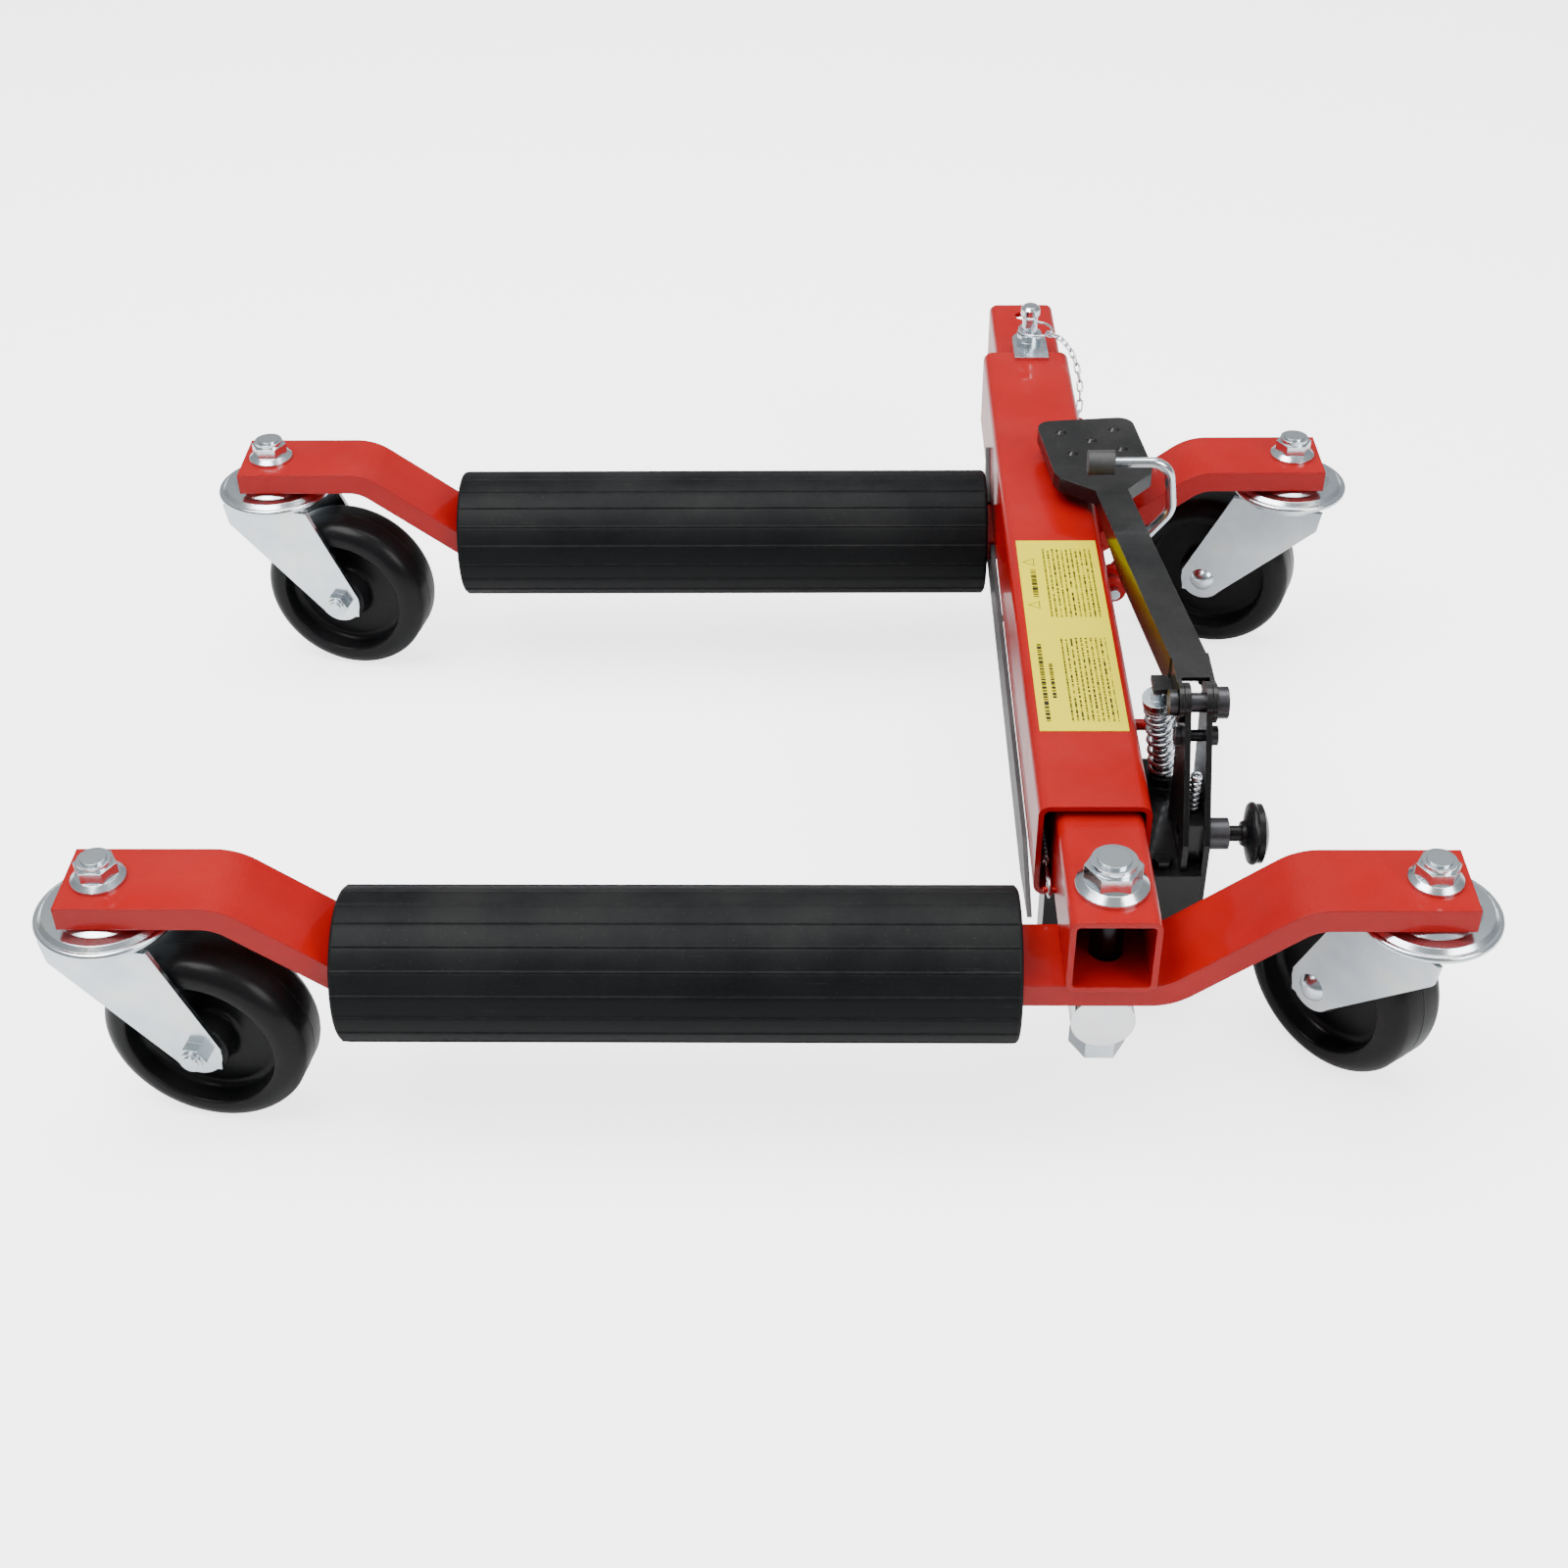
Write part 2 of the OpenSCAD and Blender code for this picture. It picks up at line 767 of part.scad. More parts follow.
// Two upright plates with rounded heads that carry the pedal hinge
module pump_bracket() {
    head = 10;
    foot_z = block_low + 8;
    color(BLACK) place()
        for (x = [pump_x - plate_out, pump_x + plate_gap / 2])
            translate([x, 0, 0])
                rotate([90, 0, 90])
                    linear_extrude(plate_t)
                        difference() {
                            union() {
                                polygon([
                                    [block_y + 4, x < pump_x ? block_top : foot_z],
                                    [hinge_y + 4, x < pump_x ? block_top : foot_z],
                                    [hinge_y + 4, valve_z + 14],
                                    [hinge_y + head, hinge_z - 6],
                                    [hinge_y + head, hinge_z],
                                    [hinge_y - head, hinge_z],
                                    [block_y + 4, valve_z + 6]]);
                                translate([hinge_y, hinge_z]) circle(head);
                            }
                            translate([hinge_y, hinge_z]) circle(d = hinge_d + 2 * run_gap);
                            translate([hinge_y - 3, hinge_z - 18]) circle(3);
                            translate([valve_y, valve_z]) circle(5);
                        }
}

module pump_plunger() {
    color(ZINC) place() on_plunger() translate([0, 0, -24]) {
        cylinder(d = plunger_d, h = 24 + cap_low);
    }
}

module plunger_cap() {
    color(ZINC) place() on_plunger() {
        translate([0, 0, cap_low]) cylinder(r = 8.5, h = cap_h);
        translate([0, 0, cap_low + cap_h]) cylinder(r = stud_r, h = stud_top - cap_low - cap_h);
    }
}

// Round wire carried along a helix from z0 to z1
module coil(r, wire, z0, z1, turns, steps = 14, sides = 6) {
    n = turns * steps;
    rings = [for (i = [0:n])
        let (a = 360 * i / steps, z = z0 + (z1 - z0) * i / n)
        for (j = [0:sides - 1])
            let (b = 360 * j / sides, q = r + wire / 2 * cos(b))
            [q * cos(a), q * sin(a), z + wire / 2 * sin(b)]];
    skin = [for (i = [0:n - 1])
        for (j = [0:sides - 1])
            let (k = (j + 1) % sides, s = i * sides, t = s + sides)
            [s + j, t + j, t + k, s + k]];
    caps = [[for (j = [0:sides - 1]) j], [for (j = [sides - 1:-1:0]) n * sides + j]];
    polyhedron(points = rings, faces = concat(skin, caps));
}

module plunger_spring() {
    wire = 2.2;
    color("gainsboro") place() on_plunger()
        coil(plunger_d / 2 + wire / 2 + 0.6, wire, gland_h + wire / 2 + 0.1, cap_low - wire / 2 - 0.1, 7);
}

module valve_spring() {
    color("white") place()
        translate([pump_x, valve_y + 2, block_top + 24])
            coil(plate_gap / 2 - 1.3, 1.6, 0.9, 21, 6);
}

// Threaded collar and stem that hold the release screw
module release_collar() {
    color(RUBBER) place()
        translate([pump_x + plate_out, valve_y, valve_z])
            difference() {
                union() {
                    rod_x(8, 11.5);
                    translate([-plate_t - plate_gap, 0, 0]) rod_x(5 - seat_gap, plate_t + plate_gap + 1);
                }
                translate([-plate_t - plate_gap - 1, 0, 0]) rod_x(4 + run_gap, 40);
            }
}

// Release screw with a domed round knob
module release_knob() {
    face_x = pump_x + plate_out + 18;
    r = knob_d / 2;
    color(RUBBER) place()
        translate([0, valve_y, valve_z]) {
            translate([pump_x - plate_gap / 2 + 1, 0, 0]) rod_x(4, face_x - pump_x + plate_gap / 2);
            translate([face_x, 0, 0])
                rotate([0, 90, 0])
                    rotate_extrude()
                        polygon(concat(
                            [[0, 0], [6, 0], [7, 2], [r - 3, 3.5], [r - 1, 4]],
                            arc([r - 1.8, 5.8], 1.8, -60, 60, 4),
                            arc([0, -18], 32, 62, 90, 6)));
        }
}

// Side view of a sheet whose top edge follows the points, each [y, z, depth]
module arm_side(points, depth = 0) {
    n = len(points) - 1;
    polygon(concat(
        [for (p = points) [p[0], p[1]]],
        [for (i = [n:-1:0]) [points[i][0], points[i][1] - (depth > 0 ? depth : points[i][2])]]));
}

// A U channel, open below, that tapers in depth along its points
module channel(w, points) {
    rotate([90, 0, 90]) {
        for (x = [-w / 2, w / 2 - pedal_t])
            translate([0, 0, x]) linear_extrude(pedal_t) arm_side(points);
        translate([0, 0, -w / 2 + pedal_t / 2])
            linear_extrude(w - pedal_t) arm_side(points, pedal_t);
    }
}

// Foot pedal: hinge cheeks, channel arm, dimpled pad and push tab
module pedal() {
    rise = pedal_top - hinge_z;
    neck_y = pedal_arm - 22;
    pad_drop = pad_top_z - hinge_z;
    head = 10;
    plate_y = head + face_gap;
    bend_y = 22;
    color(BLACK) place()
        difference() {
            translate([pump_x, hinge_y, hinge_z]) {
                for (x = [-arm_w / 2, arm_w / 2 - pedal_t])
                    translate([x, 0, 0])
                        rotate([90, 0, 90])
                            linear_extrude(pedal_t) {
                                circle(head);
                                polygon([
                                    [0, head], [8, rise], [32, rise],
                                    [32, rise - arm_deep], [0, -head]]);
                            }
                translate([-arm_w / 2, plate_y, rise - pedal_t]) cube([arm_w, 32 - plate_y, pedal_t]);
                translate([-arm_w / 2 - 9, 18, push_z - hinge_z]) cube([10, 13, 3]);
                translate([0, bend_y, 0]) rotate([0, 0, pedal_turn]) translate([0, -bend_y, 0]) {
                    channel(arm_w, [[bend_y + 7, rise - 0.2, arm_deep], [140, rise - 7, arm_deep],
                        [neck_y + 1, pad_drop - 0.05, neck_deep - 0.1]]);
                    pad(neck_y, pad_drop);
                }
            }
            translate([pump_x - arm_w, hinge_y, hinge_z]) rod_x(hinge_d / 2 + run_gap, 2 * arm_w);
        }
}

// Pad outline: widens from the arm, then a rounded far end
module pad_outline(shrink) {
    r = 9;
    w = pad_w / 2 - shrink;
    n = arm_w / 2 - shrink;
    polygon(concat(
        [[n, 0], [n, 5], [w - 2, 22]],
        arc([w - 6, 30], 6, -20, 0, 3),
        arc([w - r, 22 + pad_len - r - shrink], r, 0, 90, 6),
        arc([-w + r, 22 + pad_len - r - shrink], r, 90, 180, 6),
        arc([-w + 6, 30], 6, 180, 200, 3),
        [[-w + 2, 22], [-n, 5], [-n, 0]]));
}

module pad(y0, top) {
    translate([0, y0, top - neck_deep])
        difference() {
            linear_extrude(neck_deep) pad_outline(0);
            translate([0, 0, -pedal_t]) linear_extrude(neck_deep) pad_outline(pedal_t);
            translate([-arm_w / 2 + pedal_t, -1, -pedal_t])
                cube([arm_w - 2 * pedal_t, 8, neck_deep]);
        }
    for (p = [[-16, 74], [16, 74], [0, 62], [-14, 48], [16, 50], [0, 36]])
        translate([p[0], y0 + p[1] + 2, top - 0.5]) cylinder(r1 = 4.5, r2 = 2, h = 2);
}

module pedal_hinge_bolt() {
    half = arm_w / 2;
    color(RUBBER) place()
        translate([pump_x, hinge_y, hinge_z]) {
            translate([-half - 3, 0, 0]) rod_x(hinge_d / 2, 2 * half + 4);
            translate([half + face_gap, 0, 0]) rod_x(8, 5.5);
            translate([-half - 4 - face_gap, 0, 0]) rod_x(6.5, 4);
        }
}

module bracket_tie_bolt() {
    color(RUBBER) place()
        translate([pump_x - plate_out - 3, hinge_y - 3, hinge_z - 18]) {
            rod_x(3, 2 * plate_out + 5);
            rotate([0, 90, 0]) hexagon(9, 3);
            translate([2 * plate_out + 3, 0, 0]) rod_x(5, 5);
        }
}

// ---- latch hook ----

// Draws a bend of radius r to the left of the travel, then what follows it
module wire_bend(r, a) {
    translate([-r, 0, 0]) rotate([90, 0, 0])
        rotate_extrude(angle = a) translate([r, 0]) circle(d = hook_d);
    translate([-r, 0, 0]) rotate([0, -a, 0]) translate([r, 0, 0]) children();
}

// Round wire that runs along +Z, with each step [straight, bend radius, bend]
module wire(steps, i = 0) {
    run = steps[i][0];
    last = i == len(steps) - 1;
    translate([0, 0, last ? -1 : 0])
        cylinder(d = last ? hook_d - 0.1 : hook_d, h = run + (last ? 1 : 0));
    if (!last)
        translate([0, 0, run]) wire_bend(steps[i][1], steps[i][2]) wire(steps, i + 1);
}

module latch_hook() {
    start = 52;
    upper = 97;
    side_r = 14;
    top_r = 12;
    first = 46;
    rise = hook_over_z - hook_z;
    second = (rise - first * sin(start) - side_r * (cos(start) - cos(upper))
        - top_r * (cos(upper) + 1)) / sin(upper);
    color(ZINC) place()
        translate([hook_x, hook_y, hook_z]) {
            rotate([0, 90 - start, 0])
                wire([[first, side_r, upper - start], [second, top_r, 180 - upper], [28, 0, 0]]);
            translate([0, -26, 0]) rod_y(hook_pin_d / 2, 26 + hook_pin_d / 2);
        }
}

module hook_cap() {
    color(RUBBER) place()
        translate([hook_x - 18, hook_y, hook_over_z])
            difference() {
                rod_x(7, 15);
                translate([6, 0, 0]) rod_x(hook_d / 2, 12);
            }
}

// ---- lock pin ----

module pin_guide() {
    color(ZINC) place()
        difference() {
            union() {
                translate([beam_x - 11, outer_end - 12, outer_top_z]) cube([22, 27, 2.5]);
                translate([beam_x, pin_y, outer_top_z]) cylinder(r = 11, h = 2.5);
                translate([beam_x, pin_y, guide_z]) cylinder(r = 8, h = outer_top_z - guide_z + 7);
            }
            translate([beam_x, pin_y, guide_z - 1])
                cylinder(d = lock_pin_d + 2 * run_gap, h = 20);
        }
}

module lock_pin() {
    tip = inner_top_z + pin_lift;
    neck = outer_top_z + 18;
    color("white") place()
        translate([beam_x, pin_y, 0]) {
            translate([0, 0, tip]) cylinder(d = lock_pin_d, h = neck - tip);
            translate([0, 0, neck]) cylinder(r1 = 5, r2 = 6.2, h = 2);
            translate([0, 0, neck + 2]) cylinder(r = 6.2, h = 4);
            translate([0, 0, neck + 6]) cylinder(r1 = 6.2, r2 = 4.4, h = 2);
        }
}

module pin_ring() {
    color(ZINC) place()
        translate([beam_x + 4, pin_y, ring_z])
            rotate_extrude() translate([ring_r, 0]) circle(0.8);
}

// Control points of the chain's curve, from the ring over the tube's edge to its lug
CHAIN = [
    [beam_x + 4 + 0.7 * ring_r - 0.5, pin_y - 0.7 * ring_r + 0.5, ring_z],
    [outer_right_x + 1.6, pin_y - 16, ring_z + 4],
    [outer_right_x + 10.6, pin_y - 35, outer_top_z - 6.7],
    [outer_right_x + 5, chain_lug_y + 2, hook_z + 1]];

function chain_at(t) = let (u = 1 - t)
    u * u * u * CHAIN[0] + 3 * u * u * t * CHAIN[1] + 3 * u * t * t * CHAIN[2] + t * t * t * CHAIN[3];

// Oval link that lies along +X, with room for its neighbours a pitch apart
module chain_link(pitch) {
    half = (pitch + 2 * link_wire - link_w) / 2 + 0.05;
    for (s = [-1, 1])
        translate([0, s * (link_w - link_wire) / 2, 0])
            translate([-half - 0.2, 0, 0]) rod_x(link_wire / 2 - seat_gap, 2 * half + 0.4);
    for (s = [0, 180])
        rotate([0, 0, s])
            translate([half, 0, 0])
                rotate([0, 0, -90])
                    rotate_extrude(angle = 180)
                        translate([(link_w - link_wire) / 2, 0]) circle(link_wire / 2, $fn = 16);
}

module pin_chain() {
    color(ZINC) place()
        for (i = [0:chain_links - 1]) {
            a = chain_at(i / chain_links);
            b = chain_at((i + 1) / chain_links);
            d = b - a;
            translate((a + b) / 2)
                rotate([0, -asin(d[2] / norm(d)), atan2(d[1], d[0])])
                    rotate([(i + 1) % 2 * 90, 0, 0]) chain_link(norm(d));
        }
}

outer_tube();
tube_lugs();
far_arm_bar();
inner_tube();
near_arm_bar();
near_roller();
far_roller();
near_roller_bushes();
far_roller_bushes();
warning_label();
guard_strip();
arm_bolt();
arm_nut();
ram_rod();
ram_barrel();
ram_end_blocks();
return_spring();
pump_block();
pump_bracket();
pump_plunger();
plunger_cap();
plunger_spring();
valve_spring();
pedal();
pedal_hinge_bolt();
bracket_tie_bolt();
release_collar();
release_knob();
latch_hook();
hook_cap();
lock_pin();
pin_ring();
pin_guide();
pin_chain();
near_kingpins();
far_kingpins();
near_kingpin_nuts();
far_kingpin_nuts();
near_swivel_races();
far_swivel_races();
near_left_fork();
near_left_balls();
near_left_axle();
near_left_bush();
near_left_wheel();
near_right_fork();
near_right_balls();
near_right_axle();
near_right_bush();
near_right_wheel();
far_left_fork();
far_left_balls();
far_left_axle();
far_left_bush();
far_left_wheel();
far_right_fork();
far_right_balls();
far_right_axle();
far_right_bush();
far_right_wheel();
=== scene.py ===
"""Looks for the foot-pumped wheel dolly: paint, plating, moulded plastic and the pieces with fine shape."""
import json
import math

import bpy
import numpy as np
from mathutils import Matrix, Vector


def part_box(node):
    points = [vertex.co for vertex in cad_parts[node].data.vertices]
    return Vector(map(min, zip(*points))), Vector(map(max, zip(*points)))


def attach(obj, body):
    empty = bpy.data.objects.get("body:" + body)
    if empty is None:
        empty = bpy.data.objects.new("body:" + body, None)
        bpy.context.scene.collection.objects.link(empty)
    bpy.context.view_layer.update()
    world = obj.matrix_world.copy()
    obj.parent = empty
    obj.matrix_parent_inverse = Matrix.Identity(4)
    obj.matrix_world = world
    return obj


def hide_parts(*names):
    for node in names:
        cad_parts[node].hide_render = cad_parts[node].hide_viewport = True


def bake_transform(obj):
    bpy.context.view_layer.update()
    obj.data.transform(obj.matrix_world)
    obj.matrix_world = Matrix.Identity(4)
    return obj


bl_info = {
    "name": "Wheel Dolly Looks",
    "version": (1, 0, 0),
    "blender": (4, 5, 0),
    "location": "3D View > Sidebar > Dolly",
    "description": "Builds the finished look of a roller wheel dolly round its packed frame",
    "category": "Object",
}

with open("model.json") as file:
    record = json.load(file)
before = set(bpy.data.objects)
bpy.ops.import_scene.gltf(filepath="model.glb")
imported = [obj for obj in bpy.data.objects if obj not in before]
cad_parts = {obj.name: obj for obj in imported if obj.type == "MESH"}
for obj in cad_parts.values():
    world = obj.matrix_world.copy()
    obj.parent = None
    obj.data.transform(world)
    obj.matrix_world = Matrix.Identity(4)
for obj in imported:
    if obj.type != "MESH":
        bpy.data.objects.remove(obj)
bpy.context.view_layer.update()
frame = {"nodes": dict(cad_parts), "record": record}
NODES = frame["nodes"]
RECORD = frame["record"]
JOINTS = {j["name"]: j for j in RECORD["behaviour"]["joints"]}
SLOT_OF = {s["node"]: s["material_slot"] for s in RECORD["subparts"]}
CASTERS = ("near_left", "near_right", "far_left", "far_right")
MM = 0.001

# Camera: place in metres, lens in mm, and pitch, yaw and roll in radians
EYE = (0.0314, -1.0697, 0.7928)
LENS = 50.49
TURN = (0.6555, 0.02678, -0.01617)

# Area lights: name, place, size and share of the key's power
LIGHTS = (("key", (-0.9, -0.6, 2.2), (1.6, 1.2), 1.0),
          ("fill", (1.8, -1.4, 1.6), (1.2, 1.2), 0.55),
          ("top", (0.1, 0.5, 2.4), (2.2, 1.4), 0.8))


# ---------------------------------------------------------------- surfaces

def unit(v):
    """Each row divided by its own length."""
    return v / np.linalg.norm(v, axis=-1, keepdims=True)


def grid_mesh(name, points, wrap_u=False, wrap_v=True, sharp=40.0):
    """One closed mesh from points on a (u, v) grid: a quad joins each point to the next along u
    and v. Open ends along u get one flat cap each. Faces are turned to look outwards."""
    nu, nv = points.shape[:2]
    index = np.arange(nu * nv).reshape(nu, nv)
    a = index if wrap_u else index[:-1]
    b = np.roll(index, -1, axis=0) if wrap_u else index[1:]
    c, d = np.roll(a, -1, axis=1), np.roll(b, -1, axis=1)
    if not wrap_v:
        a, b, c, d = a[:, :-1], b[:, :-1], c[:, :-1], d[:, :-1]
    quads = np.stack([a, b, d, c], axis=-1).reshape(-1, 4)
    flat = points.reshape(-1, 3)
    middle = flat.mean(axis=0)
    p = flat[quads] - middle
    volume = np.einsum("ij,ij->i", p[:, 0], np.cross(p[:, 1], p[:, 2])).sum()
    volume += np.einsum("ij,ij->i", p[:, 0], np.cross(p[:, 2], p[:, 3])).sum()
    faces = quads.tolist()
    if not wrap_u:
        faces += [index[0].tolist(), index[-1][::-1].tolist()]
    if volume < 0:
        faces = [f[::-1] for f in faces]
    mesh = bpy.data.meshes.new(name)
    mesh.from_pydata(flat.tolist(), [], faces)
    mesh.validate()
    mesh.polygons.foreach_set("use_smooth", np.ones(len(mesh.polygons), bool))
    mesh.set_sharp_from_angle(angle=math.radians(sharp))
    mesh.update()
    made = bpy.data.objects.new(name, mesh)
    bpy.context.scene.collection.objects.link(made)
    return made


def axes_round(axis):
    """Two unit vectors square to an axis and to each other."""
    k = unit(np.asarray(axis, float))
    side = np.array([0.0, 0.0, 1.0]) if abs(k[2]) < 0.9 else np.array([1.0, 0.0, 0.0])
    i = unit(np.cross(side, k))
    return i, np.cross(k, i), k


def turned(name, centre, axis, profile, angles=128, ripple=None, sharp=40.0):
    """A profile of (radius, distance along the axis) carried once round the axis. A closed
    profile makes a ring. ripple(angle) is added to the radius of rows that ask for it."""
    i, j, k = axes_round(axis)
    a = np.linspace(0, 2 * math.pi, angles, endpoint=False) if isinstance(angles, int) else angles
    radius = profile[:, None, 0] + np.zeros((1, len(a)))
    if ripple is not None:
        radius = radius + profile[:, None, 2] * ripple(a)[None, :]
    round_it = np.cos(a)[:, None] * i + np.sin(a)[:, None] * j
    points = np.asarray(centre) + radius[..., None] * round_it[None] + profile[:, None, None, 1] * k
    return grid_mesh(name, points, wrap_u=True, sharp=sharp)


def tube(name, path, across, radius, sides=12, sharp=50.0):
    """A round wire along a path: at each point a circle stands square to the path's direction,
    with its first spoke along the part of `across` that is square to that direction."""
    t = unit(np.gradient(path, axis=0))
    n = unit(across - np.einsum("ij,ij->i", across, t)[:, None] * t)
    b = np.cross(t, n)
    a = np.linspace(0, 2 * math.pi, sides, endpoint=False)
    ring = np.cos(a)[None, :, None] * n[:, None] + np.sin(a)[None, :, None] * b[:, None]
    radius = np.broadcast_to(radius, (len(path),))
    return grid_mesh(name, path[:, None] + radius[:, None, None] * ring, sharp=sharp)


def coil_path(start, axis, radius, length, turns, dead=0.75, per_turn=28):
    """A helix: the angle grows evenly and the height grows evenly too, except that the first
    and last `dead` turns lie closed up, as on a compression spring."""
    i, j, k = axes_round(axis)
    s = np.linspace(0, turns, int(turns * per_turn) + 1)
    wire = 0.16 * radius
    live = np.clip((s - dead) / (turns - 2 * dead), 0, 1)
    h = (live * live * (3 - 2 * live)) * 0.25 + live * 0.75
    rise = np.clip(s, 0, dead) * wire + np.clip(s - turns + dead, 0, dead) * wire
    height = rise + h * (length - rise[-1])
    a = 2 * math.pi * s
    spoke = np.cos(a)[:, None] * i + np.sin(a)[:, None] * j
    return np.asarray(start) + radius * spoke + height[:, None] * k, spoke


def arc(cx, cy, r, a, b, n=8):
    """Points on a circle's arc from angle a to angle b, in degrees."""
    t = np.radians(np.linspace(a, b, n))
    return np.stack([cx + r * np.cos(t), cy + r * np.sin(t)], axis=1)


# ---------------------------------------------------------------- shader parts

class Graph:
    """A node tree with short calls that add nodes and join sockets."""

    def __init__(self, tree):
        self.tree = tree
        self.at = 0

    def add(self, kind, inputs=None, **settings):
        node = self.tree.nodes.new(kind)
        self.at += 1
        node.location = (self.at * 40, -self.at * 25)
        for key, value in settings.items():
            setattr(node, key, value)
        for key, value in (inputs or {}).items():
            self.put(node.inputs[key], value)
        return node

    def put(self, socket, value):
        if isinstance(value, bpy.types.NodeSocket):
            self.tree.links.new(value, socket)
        elif isinstance(value, (tuple, list)) and len(value) == 3 and socket.type == "RGBA":
            socket.default_value = (*value, 1.0)
        else:
            socket.default_value = value

    def math(self, operation, a, b=0.0, clamp=False):
        return self.add("ShaderNodeMath", {0: a, 1: b}, operation=operation, use_clamp=clamp).outputs[0]

    def remap(self, value, low, high, to_low=0.0, to_high=1.0):
        return self.add("ShaderNodeMapRange", {0: value, 1: low, 2: high, 3: to_low, 4: to_high}).outputs[0]

    def blend(self, share, a, b):
        node = self.add("ShaderNodeMix", data_type="RGBA")
        self.put(node.inputs[0], share)
        self.put(node.inputs[6], a)
        self.put(node.inputs[7], b)
        return node.outputs[2]

    def place(self, stretch=(1, 1, 1), turn=(0, 0, 0)):
        spot = self.add("ShaderNodeTexCoord").outputs["Object"]
        return self.add("ShaderNodeMapping", {"Vector": spot, "Scale": stretch, "Rotation": turn}).outputs[0]

    def noise(self, where, scale, detail=4.0, rough=0.55):
        return self.add("ShaderNodeTexNoise", {"Vector": where, "Scale": scale, "Detail": detail,
                                               "Roughness": rough}).outputs["Fac"]

    def group(self, tree, **inputs):
        node = self.add("ShaderNodeGroup", node_tree=tree)
        for key, value in inputs.items():
            self.put(node.inputs[key.replace("_", " ")], value)
        return node


def new_group(name, inputs, outputs):
    """An empty shader group with float, vector or colour sockets."""
    tree = bpy.data.node_groups.new(name, "ShaderNodeTree")
    kinds = {"F": "NodeSocketFloat", "V": "NodeSocketVector", "C": "NodeSocketColor"}
    for label, kind, value in inputs:
        socket = tree.interface.new_socket(label, in_out="INPUT", socket_type=kinds[kind])
        if value is not None:
            socket.default_value = value
    for label, kind in outputs:
        tree.interface.new_socket(label, in_out="OUTPUT", socket_type=kinds[kind])
    graph = Graph(tree)
    return graph, graph.add("NodeGroupInput").outputs, graph.add("NodeGroupOutput")


def edge_wear_group():
    """Mask of worn outside edges: where a rounded normal leans away from the true one, broken
    up by noise. Also puts out the rounded normal."""
    g, i, out = new_group("edge_wear", [("Radius", "F", 0.001), ("Breakup", "F", 90.0),
                                        ("Amount", "F", 0.5)], [("Mask", "F"), ("Normal", "V")])
    soft = g.add("ShaderNodeBevel", {"Radius": i["Radius"]}, samples=4).outputs[0]
    true = g.add("ShaderNodeNewGeometry").outputs["True Normal"]
    dot = g.add("ShaderNodeVectorMath", {0: soft, 1: true}, operation="DOT_PRODUCT").outputs["Value"]
    lean = g.remap(dot, 0.995, 0.80)
    spots = g.remap(g.noise(g.place(), i["Breakup"], 6.0, 0.7), 0.42, 0.62)
    g.put(out.inputs["Mask"], g.math("MULTIPLY", g.math("MULTIPLY", lean, spots), i["Amount"], clamp=True))
    g.put(out.inputs["Normal"], soft)
    return g.tree


def grain_group():
    """Fine skin of a surface: Height for bumps, and Tone, a slower cloud for colour and gloss."""
    g, i, out = new_group("fine_grain", [("Stretch", "V", (1, 1, 1)), ("Scale", "F", 400.0),
                                         ("Cloud", "F", 14.0)], [("Height", "F"), ("Tone", "F")])
    spot = g.add("ShaderNodeTexCoord").outputs["Object"]
    where = g.add("ShaderNodeVectorMath", {0: spot, 1: i["Stretch"]}, operation="MULTIPLY").outputs[0]
    g.put(out.inputs["Height"], g.noise(where, i["Scale"], 3.0, 0.5))
    g.put(out.inputs["Tone"], g.noise(where, i["Cloud"], 5.0, 0.6))
    return g.tree


def dust_group():
    """Mask of settled dust: strongest on faces that look up, in soft patches and fine specks."""
    g, i, out = new_group("settled_dust", [("Amount", "F", 0.1), ("Patch", "F", 16.0)], [("Mask", "F")])
    normal = g.add("ShaderNodeNewGeometry").outputs["Normal"]
    up = g.add("ShaderNodeSeparateXYZ", {0: normal}).outputs["Z"]
    facing = g.remap(up, 0.1, 0.9)
    patch = g.remap(g.noise(g.place(), i["Patch"], 5.0, 0.6), 0.35, 0.75)
    speck = g.remap(g.noise(g.place(), 900.0, 2.0, 0.6), 0.66, 0.74, 0.0, 2.0)
    both = g.math("ADD", patch, speck)
    g.put(out.inputs["Mask"], g.math("MULTIPLY", g.math("MULTIPLY", facing, both), i["Amount"], clamp=True))
    return g.tree


def scratch_group():
    """Mask of hair scratches: noise drawn out into long threads in two directions, kept where
    it peaks, and only inside slow patches."""
    g, i, out = new_group("hair_scratches", [("Amount", "F", 0.3), ("Patch", "F", 20.0)], [("Mask", "F")])
    total = None
    for stretch, turn in (((30, 1300, 900), (0.2, 0.1, 0.5)), ((1200, 40, 900), (0.1, 0.3, -0.35))):
        threads = g.noise(g.place(stretch, turn), 1.0, 1.0, 0.4)
        peak = g.remap(threads, 0.70, 0.76)
        total = peak if total is None else g.math("MAXIMUM", total, peak)
    patch = g.remap(g.noise(g.place(), i["Patch"], 3.0, 0.6), 0.52, 0.68)
    g.put(out.inputs["Mask"], g.math("MULTIPLY", g.math("MULTIPLY", total, patch), i["Amount"], clamp=True))
    return g.tree


SHARED = {}


def shared(kind):
    """The one copy of each shader group."""
    makers = {"edge": edge_wear_group, "grain": grain_group, "dust": dust_group, "scratch": scratch_group}
    if kind not in SHARED:
        SHARED[kind] = makers[kind]()
    return SHARED[kind]


